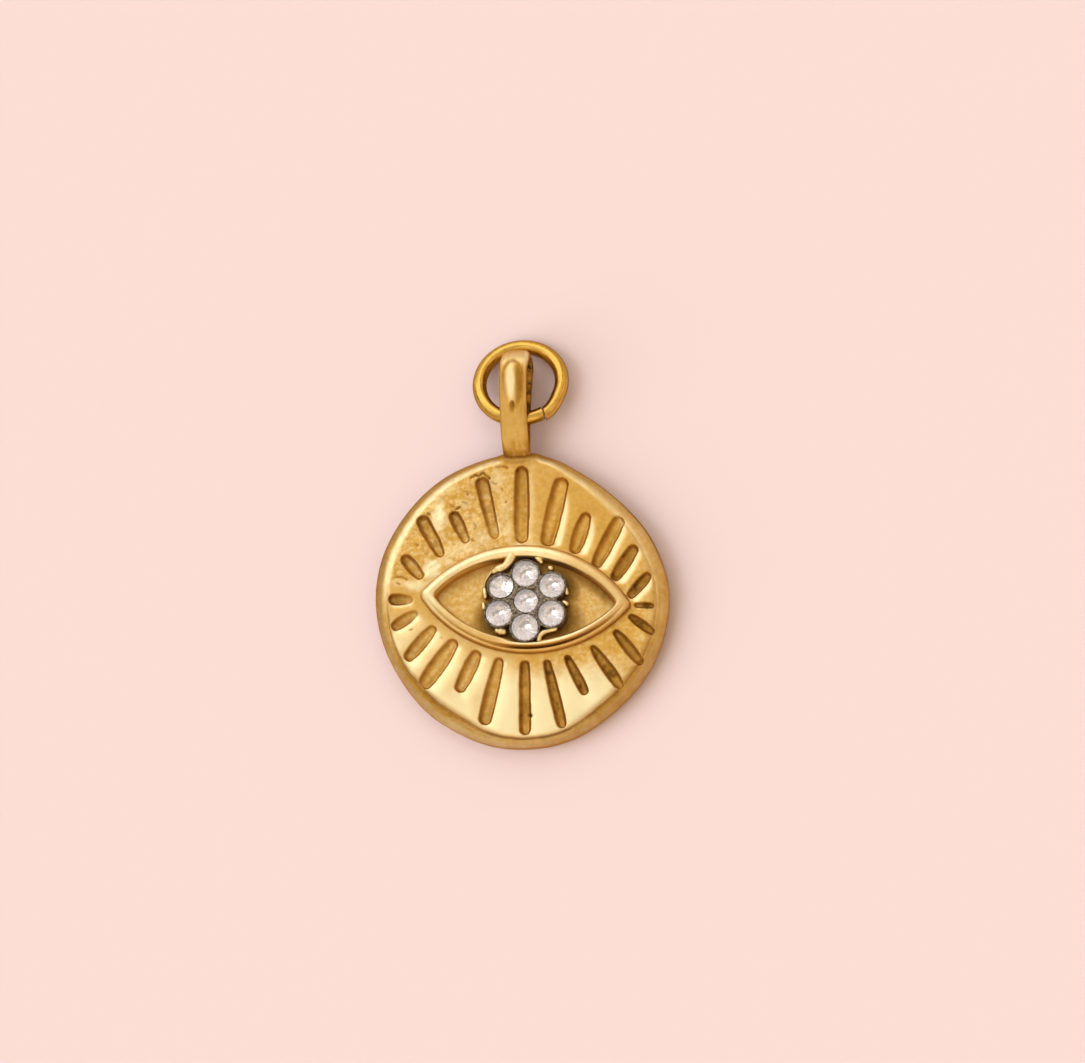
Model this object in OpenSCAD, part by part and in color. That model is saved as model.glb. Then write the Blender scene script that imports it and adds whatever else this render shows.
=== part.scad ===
// Eye charm: a cast medallion with a raised eye, seven round stones and a jump ring.
// Millimetres. It lies on its flat back: +Z out of the face, +Y towards the bail,
// the origin on the back at the middle of the disc.

/* [Disc] */
// Half width of the disc, left to right
disc_rx = 8.45; // [8.2:0.05:9.2]
// Half height of the disc, bottom to top
disc_ry = 8.72; // [8.4:0.05:9.4]
// Height of the face above the back
face_z = 1.6; // [1.4:0.05:1.7]
// Width of the rounded rim, seen from the front
rim_w = 0.65; // [0.45:0.05:0.8]
// Depth of the rays cut into the face
ray_depth = 0.35; // [0.2:0.05:0.5]

/* [Eye] */
// Half length of the raised almond frame
eye_l = 6.03; // [5.8:0.05:6.1]
// Half height of the almond frame
eye_h = 3.13; // [3.1:0.05:3.2]
// Turn of the eye on the disc, clockwise
eye_turn = 5; // [3:0.5:6]
// Height of the frame's crest above the back
crest_z = 2.15; // [2:0.05:2.4]
// Height of the sunk floor inside the frame
floor_z = 1.35; // [1.2:0.05:1.5]

/* [Stones] */
// Height of the girdles above the back
girdle_z = 2.06; // [2:0.02:2.2]
// Height of a crown over its girdle, as a share of the stone's diameter
crown_share = 0.17; // [0.12:0.01:0.2]
// Depth of a pavilion under its girdle, as a share of the stone's diameter
pavilion_share = 0.38; // [0.3:0.01:0.4]
// Wall of the setting round each stone
seat_wall = 0.11; // [0.08:0.01:0.13]
// Clearance round a stone and round the setting
clear = 0.02; // [0.01:0.01:0.03]

/* [Bail] */
// Width of the bail's band
bail_w = 1.54; // [1.3:0.02:1.7]
// Distance of the loop's centre from the disc's centre
loop_y = 13.12; // [12.9:0.02:13.2]
// Height of the loop's centre above the back
loop_z = 1.6; // [1.5:0.05:1.7]
// Outer radius of the loop, seen from the side
loop_r = 1.45; // [1.4:0.05:1.5]
// Thickness of the band at the loop
band_t = 0.67; // [0.6:0.01:0.7]

/* [Jump ring] */
// Outer diameter of the ring
ring_d = 5.5; // [5.4:0.05:5.6]
// Diameter of its wire
wire_d = 0.8; // [0.7:0.05:0.8]
// Height of its far end's wire above the surface that it lies on
lift = 0.01; // [0.01:0.01:0.05]
// Lean of the ring: its near end stands higher, on the bail
ring_lean = 13.5; // [13:0.5:14]
// Opening between the ring's cut ends
cut_gap = 0.1; // [0.05:0.01:0.2]

/* [Hidden] */

// Soft flats and swellings of the hand-made outline: [angle, depth, half width in degrees].
DENT = [
    [50, 0.60, 23],
    [214, 0.26, 30],
    [312, 0.14, 15],
    [283, -0.10, 12],
    [135, -0.08, 26]
];
dent_angle = 0;
dent_depth = 1;
dent_width = 2;

// Section of the rim, from the flat back to the face: [inset, height as a share of face_z].
RIM = [
    [0.46, 0], [0.14, 0.09], [0.02, 0.28], [0, 0.5],
    [0.1, 0.7], [0.3 * rim_w / 0.65, 0.87], [rim_w, 1]
];
disc_steps = 72;

// Rays, clockwise from the top: [inner end x, y, outer end x, y, inner width, outer width].
RAY = [
    [0.05, 3.25, 0.05, 7.75, 0.70, 0.75],
    [1.55, 3.10, 2.35, 6.85, 0.75, 0.85],
    [2.95, 2.60, 3.80, 4.80, 0.65, 0.60],
    [4.25, 1.80, 5.65, 4.50, 0.50, 0.65],
    [5.35, 1.00, 6.50, 2.75, 0.50, 0.60],
    [6.20, -0.10, 7.35, 1.10, 0.40, 0.45],
    [6.55, -0.65, 7.65, -0.75, 0.35, 0.35],
    [6.25, -1.35, 7.40, -2.25, 0.35, 0.45],
    [5.40, -2.20, 6.80, -4.00, 0.45, 0.50],
    [4.10, -3.00, 5.60, -5.40, 0.30, 0.60],
    [2.60, -3.50, 3.70, -5.75, 0.35, 0.50],
    [1.50, -3.70, 2.35, -7.65, 0.45, 0.60],
    [0.20, -3.65, 0.25, -8.00, 0.55, 0.60],
    [-1.20, -3.45, -2.10, -7.30, 0.45, 0.75],
    [-2.50, -3.05, -3.50, -5.30, 0.55, 0.65],
    [-3.80, -2.40, -5.45, -4.95, 0.55, 0.80],
    [-4.95, -1.50, -6.50, -3.25, 0.50, 0.60],
    [-5.95, -0.60, -7.35, -1.40, 0.45, 0.50],
    [-6.05, 0.12, -7.55, 0.25, 0.50, 0.65],
    [-5.65, 1.40, -6.75, 2.70, 0.50, 0.60],
    [-4.55, 2.70, -5.70, 4.95, 0.55, 0.70],
    [-3.15, 3.55, -3.75, 5.15, 0.50, 0.60],
    [-1.45, 3.60, -2.20, 7.10, 0.42, 0.72]
];
ray_end_steps = 8;
// The rays' walls lean out by this much over the depth, and the cutters stand above the face.
ray_slope = 0.12;
ray_over = 0.3;

// Section of the almond frame, from outside to inside:
// [share of the ridge's width, height along the upper lid, height along the lower lid].
// The lower lid is stepped: a low band, a crease and then the crest.
ridge_w = 0.64;
ridge_foot = 1.15;
RIDGE = [
    [-0.16, ridge_foot, ridge_foot],
    [-0.16, face_z + 0.02, face_z + 0.02],
    [0.02, crest_z - 0.22, face_z + 0.24],
    [0.22, crest_z - 0.04, face_z + 0.28],
    [0.36, crest_z, face_z + 0.14],
    [0.5, crest_z, crest_z - 0.06],
    [0.68, crest_z, crest_z],
    [0.88, crest_z - 0.14, crest_z - 0.12],
    [1, ridge_foot, ridge_foot]
];
eye_centre = [0.27, -0.17];
arc_steps = 28;
// The ridge is this much wider at the eye's corners than along its lids.
corner_share = 1.35;

// Stones: [x, y, diameter, lean about x, lean about y], in degrees.
STONE = [
    [0.36, -0.32, 1.38, 0, 0],
    [0.32, 1.28, 1.50, 2, 0],
    [1.84, 0.54, 1.44, 3, 2],
    [1.79, -1.12, 1.50, 4, -2],
    [0.29, -1.87, 1.54, 6, 0],
    [-1.19, -0.99, 1.50, 0, 3],
    [-1.06, 0.58, 1.42, -9, -3]
];
// Table and break of a stone's crown, as shares of its radius and of its crown's height.
table_share = 0.54;
break_share = 0.8;
break_height = 0.55;
girdle_t = 0.03;
facets = 8;

// Claws of the casting that grip the setting: [x, y, radius, top].
CLAW = [
    [-0.62, 2.16, 0.16, 2.12],
    [-1.26, 1.68, 0.20, 2.02],
    [1.22, 2.00, 0.15, 2.00],
    [1.76, 1.56, 0.13, 2.00],
    [2.78, 0.10, 0.12, 1.98],
    [2.78, -0.50, 0.13, 1.98],
    [1.24, -2.32, 0.15, 2.02],
    [2.02, -2.14, 0.12, 1.92],
    [-1.12, -2.12, 0.19, 1.98],
    [-2.10, -0.22, 0.13, 1.92]
];
seat_floor = floor_z + clear;
setting_top = girdle_z + 0.05;
pocket_gap = 0.04;

bail_x = -0.19;
// The neck of the bail where it leaves the rim: distance from the disc's centre, low and high edge.
neck_y = 8.1;
neck_low = 0.95;
neck_high = 2.0;
root_y = 7.7;
// Lower end of the bail's hole.
hole_y = 10.5;
hole_z = 1.52;
hole_r = 0.52;
// Half width of the band along its length, seen from the front: [distance from the centre, half width].
BAND = [
    [root_y, 0.74], [8.6, 0.70], [9.6, 0.74], [11, 0.77], [13.2, 0.79], [13.9, 0.8], [14.3, 0.7],
    [loop_y + loop_r + 0.1, 0.45]
];
band_mean = 0.77;

ring_mid = (ring_d - wire_d) / 2;
ring_x = -0.1;
ring_z = wire_d / 2 + lift + ring_mid * sin(ring_lean);
ring_y = 12.88;
cut_angle = -57;
fine = 48;

function sum_to(v, i) = i < 0 ? 0 : v[i] + sum_to(v, i - 1);
function turn_apart(a, b) = abs(((a - b + 540) % 360) - 180);
function dent(a) = sum_to(
    [for (d = DENT) d[dent_depth] * exp(-pow(turn_apart(a, d[dent_angle]) / d[dent_width], 2))],
    len(DENT) - 1);
// Radius of the outline at an angle: an ellipse less its dents.
function outline(a) = disc_rx * disc_ry / norm([disc_ry * cos(a), disc_rx * sin(a)]) - dent(a);

// Faces between rings of n points each; closed joins the last ring to the first.
function wall_faces(rings, n, closed) = [
    for (k = [0:rings - (closed ? 1 : 2)])
        for (i = [0:n - 1])
            let (j = (i + 1) % n, a = k * n, b = ((k + 1) % rings) * n)
                for (f = [[a + i, b + i, b + j], [a + i, b + j, a + j]]) f
];
function flip(faces) = [for (f = faces) [f[2], f[1], f[0]]];

// A solid lofted through level rings of points, bottom to top, counter-clockwise.
module loft(rings) {
    n = len(rings[0]);
    m = len(rings);
    points = [for (r = rings) for (p = r) p];
    bottom = [for (i = [1:n - 2]) [0, i, i + 1]];
    top = [for (i = [1:n - 2]) [(m - 1) * n, (m - 1) * n + i + 1, (m - 1) * n + i]];
    polyhedron(points, concat(bottom, top, wall_faces(m, n, false)), convexity = 6);
}

module disc_blank() {
    loft([for (s = RIM)
        [for (i = [0:disc_steps - 1])
            let (a = 360 * i / disc_steps, r = outline(a) - s[0])
                [r * cos(a), r * sin(a), s[1] * face_z]]]);
}

// Outline of a ray: two round ends joined by straight sides, drawn in by an inset.
function ray_ring(ray, inset, z) =
    let (
        along = [ray[2] - ray[0], ray[3] - ray[1]],
        a = atan2(along[1], along[0]),
        way = along / norm(along),
        inner = [ray[0], ray[1]] + way * ray[4] / 2,
        outer = [ray[2], ray[3]] - way * ray[5] / 2
    )
    concat(
        [for (i = [0:ray_end_steps])
            let (b = a - 90 + 180 * i / ray_end_steps, r = ray[5] / 2 - inset)
                [outer[0] + r * cos(b), outer[1] + r * sin(b), z]],
        [for (i = [0:ray_end_steps])
            let (b = a + 90 + 180 * i / ray_end_steps, r = ray[4] / 2 - inset)
                [inner[0] + r * cos(b), inner[1] + r * sin(b), z]]);

module ray_cutter(ray) {
    flare = ray_slope * ray_over / ray_depth;
    loft([
        ray_ring(ray, ray_slope, face_z - ray_depth),
        ray_ring(ray, -flare, face_z + ray_over)
    ]);
}

// Almond of two arcs that meet in points, counter-clockwise from the right-hand corner.
// Its height runs from one value along the upper arc, and at the corners, to another below.
function almond(l, h, z_upper, z_lower) =
    let (r = (l * l + h * h) / (2 * h), half = asin(l / r))
    [for (side = [1, -1])
        for (i = [0:arc_steps - 1])
            let (
                a = 90 - half + 2 * half * i / arc_steps,
                low = side > 0 ? 0 : sqrt(sin(180 * i / arc_steps))
            )
                [side * r * cos(a), side * (r * sin(a) - (r - h)), z_upper + low * (z_lower - z_upper)]];

module place_eye() translate([eye_centre[0], eye_centre[1], 0]) rotate([0, 0, -eye_turn]) children();

module eye_ridge() {
    rings = [for (s = RIDGE)
        almond(eye_l - s[0] * ridge_w * corner_share, eye_h - s[0] * ridge_w, s[1], s[2])];
    n = 2 * arc_steps;
    polyhedron([for (r = rings) for (p = r) p], wall_faces(len(rings), n, true), convexity = 8);
}

module eye_floor_cutter() {
    l = eye_l - 0.8 * ridge_w * corner_share;
    h = eye_h - 0.8 * ridge_w;
    loft([almond(l, h, floor_z, floor_z), almond(l, h, face_z + ray_over, face_z + ray_over)]);
}

// The scalloped outline of the setting, one round per stone, from a height up to another.
module seat_rounds(grow, low, high) {
    for (s = STONE)
        translate([s[0], s[1], low]) cylinder(r = s[2] / 2 + grow, h = high - low, $fn = fine);
}

module claws() {
    for (c = CLAW) {
        translate([c[0], c[1], floor_z - 0.2]) cylinder(r = c[2], h = c[3] - c[2] - floor_z + 0.2, $fn = 24);
        translate([c[0], c[1], c[3] - c[2]]) sphere(r = c[2], $fn = 24);
    }
}

// Side of the bail: a round loop whose two legs run together into a neck.
module bail_side() {
    top = atan2(loop_z + loop_r - neck_high, loop_y - neck_y);
    low = atan2(neck_low - loop_z + loop_r, loop_y - neck_y);
    translate([loop_y, loop_z]) circle(r = loop_r, $fn = 64);
    polygon([
        [root_y, neck_low], [root_y, face_z - 0.1], [neck_y, neck_high],
        [loop_y - loop_r * sin(top), loop_z + loop_r * cos(top)],
        [loop_y - loop_r * sin(low), loop_z - loop_r * cos(low)],
        [neck_y, neck_low]
    ]);
}

// The hole runs from the loop down to a narrower round end between the legs.
module bail_hole() {
    inner = loop_r - band_t;
    run = norm([loop_y - hole_y, loop_z - hole_z]);
    lean = atan2(loop_z - hole_z, loop_y - hole_y);
    spread = asin((inner - hole_r) / run);
    translate([loop_y, loop_z]) circle(r = inner, $fn = 64);
    translate([hole_y, hole_z]) circle(r = hole_r, $fn = 64);
    polygon([
        [loop_y, loop_z] + inner * [cos(lean + 90 + spread), sin(lean + 90 + spread)],
        [hole_y, hole_z] + hole_r * [cos(lean + 90 + spread), sin(lean + 90 + spread)],
        [hole_y, hole_z] + hole_r * [cos(lean - 90 - spread), sin(lean - 90 - spread)],
        [loop_y, loop_z] + inner * [cos(lean - 90 - spread), sin(lean - 90 - spread)]
    ]);
}

module bail() {
    intersection() {
        translate([bail_x, 0, 0]) rotate([90, 0, 90])
            translate([0, 0, -bail_w]) linear_extrude(2 * bail_w)
                difference() {
                    bail_side();
                    bail_hole();
                }
        translate([bail_x, 0, -1]) linear_extrude(6)
            polygon(concat(
                [for (b = BAND) [b[1] * bail_w / 2 / band_mean, b[0]]],
                [for (i = [len(BAND) - 1:-1:0]) [-BAND[i][1] * bail_w / 2 / band_mean, BAND[i][0]]]));
    }
}

module medallion() color([0.84, 0.66, 0.33]) {
    difference() {
        union() {
            difference() {
                disc_blank();
                for (r = RAY) ray_cutter(r);
                place_eye() eye_floor_cutter();
            }
            place_eye() eye_ridge();
            claws();
            bail();
        }
        seat_rounds(seat_wall + pocket_gap, floor_z, crest_z + 1);
    }
}

module at_stone(s) translate([s[0], s[1], girdle_z]) rotate([s[3], s[4], 0]) children();

// Room for a stone: a bore from its girdle up and a cone under it.
module seat_cutter(s) {
    r = s[2] / 2 + clear;
    low = -girdle_t - clear;
    translate([0, 0, low]) cylinder(r = r, h = 1, $fn = fine);
    translate([0, 0, low - s[2] * pavilion_share]) cylinder(r1 = 0, r2 = r, h = s[2] * pavilion_share, $fn = fine);
}

module stone_setting() color([0.35, 0.29, 0.24])
    difference() {
        seat_rounds(seat_wall, seat_floor, setting_top);
        for (s = STONE) at_stone(s) seat_cutter(s);
    }

// A round brilliant: table, eight stars, eight kites, a girdle and a pointed pavilion.
module stone(s) {
    r = s[2] / 2;
    crown = crown_share * s[2];
    step = 360 / facets;
    n = 2 * facets;
    table = [for (i = [0:facets - 1]) [table_share * r * cos(step * i), table_share * r * sin(step * i), crown]];
    break = [for (i = [0:facets - 1])
        let (a = step * (i + 0.5))
            [break_share * r * cos(a), break_share * r * sin(a), break_height * crown]];
    upper = [for (i = [0:n - 1]) [r * cos(step * i / 2), r * sin(step * i / 2), 0]];
    lower = [for (p = upper) [p[0], p[1], -girdle_t]];
    culet = [0, 0, -girdle_t - pavilion_share * s[2] + clear];
    t = 0;
    b = facets;
    u = 2 * facets;
    l = u + n;
    c = l + n;
    faces = concat(
        [for (i = [1:facets - 2]) [t, t + i + 1, t + i]],
        [for (i = [0:facets - 1]) [t + i, t + (i + 1) % facets, b + i]],
        [for (i = [0:facets - 1]) [b + i, u + 2 * i + 1, u + 2 * i]],
        [for (i = [0:facets - 1]) [b + i, u + (2 * i + 2) % n, u + 2 * i + 1]],
        [for (i = [0:facets - 1]) [t + i, b + i, u + 2 * i]],
        [for (i = [0:facets - 1]) [t + i, u + 2 * i, b + (i + facets - 1) % facets]],
        [for (i = [0:n - 1]) [u + i, u + (i + 1) % n, l + (i + 1) % n]],
        [for (i = [0:n - 1]) [u + i, l + (i + 1) % n, l + i]],
        [for (i = [0:n - 1]) [l + i, l + (i + 1) % n, c]]);
    color([0.86, 0.83, 0.82])
        at_stone(s)
            polyhedron(concat(table, break, upper, lower, [culet]), faces, convexity = 2);
}

module jump_ring() color([0.86, 0.67, 0.3])
    translate([ring_x, ring_y, ring_z]) rotate([-ring_lean, 0, 0])
        rotate([0, 0, cut_angle]) {
            half_gap = asin(cut_gap / 2 / ring_mid);
            rotate([0, 0, half_gap]) rotate_extrude(angle = 360 - 2 * half_gap, $fn = 96)
                translate([ring_mid, 0]) circle(d = wire_d, $fn = 24);
        }

medallion();
stone_setting();
stone(STONE[0]);  // stone_centre
stone(STONE[1]);  // stone_top
stone(STONE[2]);  // stone_upper_right
stone(STONE[3]);  // stone_lower_right
stone(STONE[4]);  // stone_bottom
stone(STONE[5]);  // stone_lower_left
stone(STONE[6]);  // stone_upper_left
jump_ring();
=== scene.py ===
"""Eye charm: a cast, gold plated medallion with a raised eye, seven cut crystals and a jump ring.

It lies on its flat back on a plain pale surface. Sizes are in millimetres in the tables, and in
metres in the meshes. The origin is on the back at the middle of the disc, +Y runs towards the bail.
"""

import math

import bpy
import numpy as np
from mathutils import Matrix, Vector


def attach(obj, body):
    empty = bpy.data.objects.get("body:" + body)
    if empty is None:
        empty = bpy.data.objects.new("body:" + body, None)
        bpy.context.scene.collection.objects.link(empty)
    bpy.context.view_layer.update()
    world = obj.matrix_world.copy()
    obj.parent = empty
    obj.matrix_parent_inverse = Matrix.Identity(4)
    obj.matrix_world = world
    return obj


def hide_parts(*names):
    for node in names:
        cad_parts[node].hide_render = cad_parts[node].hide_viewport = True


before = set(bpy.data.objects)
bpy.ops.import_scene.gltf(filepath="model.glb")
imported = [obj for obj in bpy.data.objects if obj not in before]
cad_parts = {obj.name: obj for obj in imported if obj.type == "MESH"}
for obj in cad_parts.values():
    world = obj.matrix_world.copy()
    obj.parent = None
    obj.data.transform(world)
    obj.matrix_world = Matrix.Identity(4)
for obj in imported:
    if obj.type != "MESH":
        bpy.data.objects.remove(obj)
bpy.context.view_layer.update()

MM = 0.001

# Disc: half width and half height of its outline, height of its face, and its soft flats and
# swellings as angle in degrees, depth and half width in degrees.
DISC_RX = 8.41
DISC_RY = 8.69
FACE_Z = 1.6
DENTS = np.array([
    (50, 0.62, 23), (20, 0.15, 13), (34, 0.05, 8), (68, 0.12, 9),
    (214, 0.25, 26), (244, 0.10, 12), (165, -0.09, 18), (123, -0.04, 10),
    (312, 0.09, 18), (277, 0.06, 30), (286, -0.07, 12),
    (135, -0.05, 26), (96.5, -0.09, 2.4), (85.0, -0.09, 2.4),
], float)
# Width of the rounded rim round the disc: angle in degrees, width.
RIM_WIDTHS = np.array([
    (0, 0.74), (20, 0.80), (45, 0.78), (65, 0.62), (85, 0.45), (110, 0.64), (130, 0.72), (150, 0.80),
    (180, 0.76), (204, 0.52), (222, 0.74), (236, 0.86), (250, 0.66), (264, 0.46), (285, 0.42),
    (300, 0.58), (312, 0.64), (330, 0.54), (345, 0.62),
], float)
# Section of the rim from the face outwards: share of the rim's width, height as a share of the
# face's. The soft one rolls over evenly, the stepped one drops to a sloping band first.
RIM_SOFT = np.array([
    (1.35, 1.0), (1.2, 0.998), (1.05, 0.985), (0.85, 0.95), (0.6, 0.89), (0.35, 0.82), (0.15, 0.73),
    (0.04, 0.62), (0.0, 0.52),
], float)
RIM_STEP = np.array([
    (1.6, 1.0), (1.4, 0.992), (1.2, 0.965), (1.06, 0.915), (0.98, 0.850), (0.92, 0.846), (0.82, 0.870),
    (0.6, 0.862), (0.35, 0.80), (0.14, 0.70), (0.04, 0.61), (0.0, 0.52),
], float)
# Section of the rim below its widest line: share of the rim's width from the outside, height.
RIM_UNDER = np.array([(0.0, 0.52), (0.03, 0.38), (0.14, 0.21), (0.38, 0.08), (0.8, 0.0)], float)
# Share of the rim's width from the outside at which the face's grid ends, and the rings of
# points that go on from there over the rim, closer together towards the outside.
FACE_STOP = 1.35
RIM_RINGS = FACE_STOP * (1 - np.linspace(0, 1, 27)) ** 1.15
# How stepped the rim is: angle in degrees, share.
STEP_SHARE = np.array([
    (0, 0.45), (30, 0.25), (50, 0.0), (150, 0.0), (175, 0.15), (200, 0.7), (215, 1.0), (310, 1.0),
    (335, 0.7),
], float)
# How dark, how polished and how gritty the edge below the rim is, and the back.
EDGE_FINISH = (0.3, 0.3, 0.2)
BACK_FINISH = (0.0, 0.3, 0.2)

# Rays cut into the face, clockwise from the top: inner end x, y, outer end x, y, half width at the inner
# end, the middle and the outer end, depth at the inner and the outer end, how worn the bevel beside it is at
# those two ends, and how dark its floor is.
RAYS = np.array([
    (0.03, 3.22, 0.03, 7.80, 0.40, 0.44, 0.38, 0.24, 0.34, 0.45, 0.20, 0.35),
    (1.42, 2.98, 2.38, 7.03, 0.40, 0.49, 0.45, 0.24, 0.34, 1.60, 0.00, 0.00),
    (2.98, 2.50, 3.80, 4.90, 0.34, 0.43, 0.33, 0.28, 0.32, 1.50, 0.35, 0.10),
    (4.20, 1.64, 5.72, 4.60, 0.32, 0.42, 0.38, 0.32, 0.34, 1.20, 0.50, 0.22),
    (5.25, 0.84, 6.57, 2.86, 0.29, 0.37, 0.33, 0.30, 0.34, 1.05, 0.60, 0.62),
    (6.12, -0.22, 7.37, 1.20, 0.25, 0.32, 0.26, 0.28, 0.30, 0.80, 0.70, 0.85),
    (6.47, -0.66, 7.62, -0.74, 0.14, 0.18, 0.16, 0.20, 0.24, 0.40, 0.40, 0.85),
    (6.16, -1.24, 7.56, -2.32, 0.19, 0.27, 0.23, 0.24, 0.30, 0.30, 0.60, 0.85),
    (5.33, -2.08, 6.88, -4.13, 0.21, 0.34, 0.27, 0.30, 0.28, 0.20, 0.35, 0.82),
    (4.02, -2.93, 5.70, -5.45, 0.19, 0.35, 0.30, 0.28, 0.30, 0.20, 0.25, 0.80),
    (2.57, -3.46, 3.72, -5.82, 0.19, 0.30, 0.27, 0.26, 0.30, 0.20, 0.25, 0.85),
    (1.44, -3.66, 2.38, -7.72, 0.23, 0.33, 0.29, 0.28, 0.32, 0.25, 0.25, 0.80),
    (0.21, -3.66, 0.24, -8.05, 0.27, 0.35, 0.33, 0.28, 0.34, 0.25, 0.25, 0.58),
    (-1.20, -3.42, -2.15, -7.37, 0.28, 0.40, 0.39, 0.26, 0.34, 0.60, 0.50, 0.20),
    (-2.45, -2.96, -3.60, -5.38, 0.32, 0.42, 0.34, 0.26, 0.32, 0.90, 0.75, 0.10),
    (-3.74, -2.30, -5.70, -5.05, 0.33, 0.49, 0.41, 0.28, 0.34, 0.80, 0.90, 0.02),
    (-4.92, -1.46, -6.61, -3.40, 0.27, 0.40, 0.33, 0.22, 0.32, 0.80, 0.80, 0.22),
    (-5.95, -0.58, -7.43, -1.50, 0.22, 0.34, 0.29, 0.16, 0.26, 0.90, 0.90, 0.48),
    (-6.20, 0.13, -7.62, 0.25, 0.24, 0.34, 0.34, 0.12, 0.32, 0.70, 1.00, 0.70),
    (-5.66, 1.36, -6.80, 2.78, 0.29, 0.37, 0.33, 0.22, 0.30, 0.60, 0.10, 0.42),
    (-4.53, 2.62, -5.81, 5.07, 0.29, 0.40, 0.39, 0.26, 0.34, 0.55, 0.10, 0.32),
    (-3.10, 3.36, -3.95, 5.28, 0.27, 0.36, 0.33, 0.18, 0.34, 0.40, 0.05, 0.55),
    (-1.46, 3.53, -2.32, 7.23, 0.29, 0.38, 0.42, 0.14, 0.34, 0.55, 0.05, 0.42),
], float)

# The width of the rays' walls on the shaded and on the worn side, and the worn bevels beside them: the side
# where they are widest, whose bevels face the light, their width and depth. Walls on the other side get
# painted shade, and the bevels' cream polish is partly a painted highlight.
RAY_WALLS = (0.34, 0.17)
BEVEL_WAY = (0.8, -0.6)
BEVEL_WIDTH = 0.72
BEVEL_DEPTH = 0.12

# Places on the face whose polish is raised, as painted highlights, or lowered where the strength is
# negative, as painted shade: x, y, half width, half height, strength.
PATCHES = np.array([
    (-4.70, 5.05, 0.38, 0.80, 2.0), (-5.10, 1.85, 0.48, 0.60, 2.2), (3.5, 5.2, 3.0, 2.6, -0.1),
    (-6.1, 0.95, 0.55, 0.35, 1.1), (-4.3, 6.6, 0.6, 0.25, 0.5), (-3.3, 3.0, 1.2, 0.40, 0.6),
    (-2.1, 3.6, 0.6, 0.45, 0.6), (-6.9, 1.1, 0.6, 0.25, 0.6), (-7.0, -0.2, 0.6, 0.15, 0.8),
    (-1.35, 7.0, 0.40, 0.6, 0.6), (-3.2, 5.6, 0.4, 0.25, 0.5), (-0.7, 3.9, 0.3, 0.6, 0.45),
    (-0.95, 5.2, 0.35, 1.2, 0.35), (0.2, 3.1, 0.9, 0.25, 0.5), (-4.4, 2.3, 0.5, 0.3, 0.7),
    (0.62, 5.5, 0.18, 2.4, 0.45), (-2.7, 4.3, 0.35, 0.5, 0.35), (7.25, 0.5, 0.35, 0.3, 0.6),
    (6.9, -2.6, 0.25, 0.25, 0.4), (7.5, -1.3, 0.25, 0.3, 0.4), (3.2, -3.75, 0.9, 0.35, -0.4),
    (4.7, -3.0, 1.2, 0.6, -0.3), (5.9, -1.9, 1.0, 0.6, -0.3), (1.9, -4.6, 0.9, 0.6, -0.35),
    (0.9, -4.4, 0.5, 0.9, -0.30), (-0.6, -4.2, 0.4, 0.7, -0.30), (-3.1, -3.4, 0.5, 0.6, -0.35),
    (-2.7, -5.6, 0.35, 0.7, -0.30), (-4.3, -4.9, 0.35, 0.6, -0.25), (-5.3, -3.2, 0.35, 0.5, -0.25),
    (-5.9, -1.9, 0.5, 0.3, -0.25), (-6.9, -1.9, 0.35, 0.45, -0.35), (-6.7, -3.0, 0.3, 0.4, -0.25),
], float)

# Scars of the casting on the upper face: chains of x, y, then width and depth.
SCARS = [
    ([(-2.85, 7.22), (-2.62, 7.35), (-2.35, 7.3), (-2.2, 7.5), (-1.95, 7.28), (-1.8, 7.1)], 0.11, 0.09),
    ([(-3.72, 5.38), (-3.5, 5.5)], 0.10, 0.10),
    ([(-4.02, 5.64), (-3.8, 5.5)], 0.08, 0.06),
    ([(-5.35, 5.2), (-5.2, 5.1)], 0.10, 0.07),
    ([(-3.3, 6.4), (-3.08, 6.34), (-3.02, 6.14)], 0.07, 0.05),
    ([(-3.34, 5.78), (-3.1, 5.68), (-3.0, 5.5)], 0.07, 0.05),
    ([(-3.0, 5.3), (-2.8, 5.12)], 0.07, 0.04),
    ([(-2.7, 4.5), (-2.55, 4.3), (-2.62, 4.1)], 0.09, 0.04),
    ([(-2.9, 3.6), (-2.6, 3.4)], 0.10, 0.05),
    ([(-0.86, 5.7), (-0.84, 5.66)], 0.09, 0.07),
    ([(-1.35, 7.75), (-1.0, 7.8), (-0.75, 7.7)], 0.10, 0.06),
    ([(-1.7, 6.9), (-1.5, 6.75), (-1.35, 6.8)], 0.08, 0.05),
    ([(-1.15, 6.6), (-1.05, 6.4)], 0.08, 0.05),
    ([(-6.1, 3.5), (-5.9, 3.3)], 0.10, 0.05),
    ([(-7.2, 1.5), (-6.8, 1.5), (-6.5, 1.3)], 0.12, 0.05),
    ([(-7.1, 1.15), (-6.9, 1.05)], 0.10, 0.05),
    ([(-4.55, -2.15), (-4.5, -2.2)], 0.08, 0.05),
    ([(-6.35, -1.65), (-6.2, -1.6)], 0.08, 0.04),
    ([(0.48, -6.8), (0.55, -6.95)], 0.16, 0.16),
]

# Unevenness of the casting: grain size, height, and the seed of its random values. The face has
# slow waves, a skin and pits, the eye's floor has waves of its own, and the rays are rough.
FACE_WAVES = (2.2, 0.012, 31)
SKIN = (0.26, 0.006, 41)
SKIN_WAVES = (0.9, 0.003, 51)
WIDE_PITS = (0.85, 0.032, 43)
FINE_PITS = (0.30, 0.020, 45)
FLOOR_WAVES = (0.8, 0.020, 53)
RAY_GRAIN = (0.28, 0.024, 61)
RIDGE_GRAIN = (0.6, 0.013, 81)
BAIL_SKIN = (0.4, 0.05, 93)
SETTING_GRAIN = (0.16, 0.05, 101)
# In the same form, how edges waver: the rays', the scars', and the rim's step in two sizes.
RAY_WAVER = (0.6, 0.03, 11)
SCAR_WAVER = (0.16, 0.035, 25)
STEP_WAVER = (1.1, 0.09, 65)
FINE_STEP_WAVER = (0.3, 0.03, 69)
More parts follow.
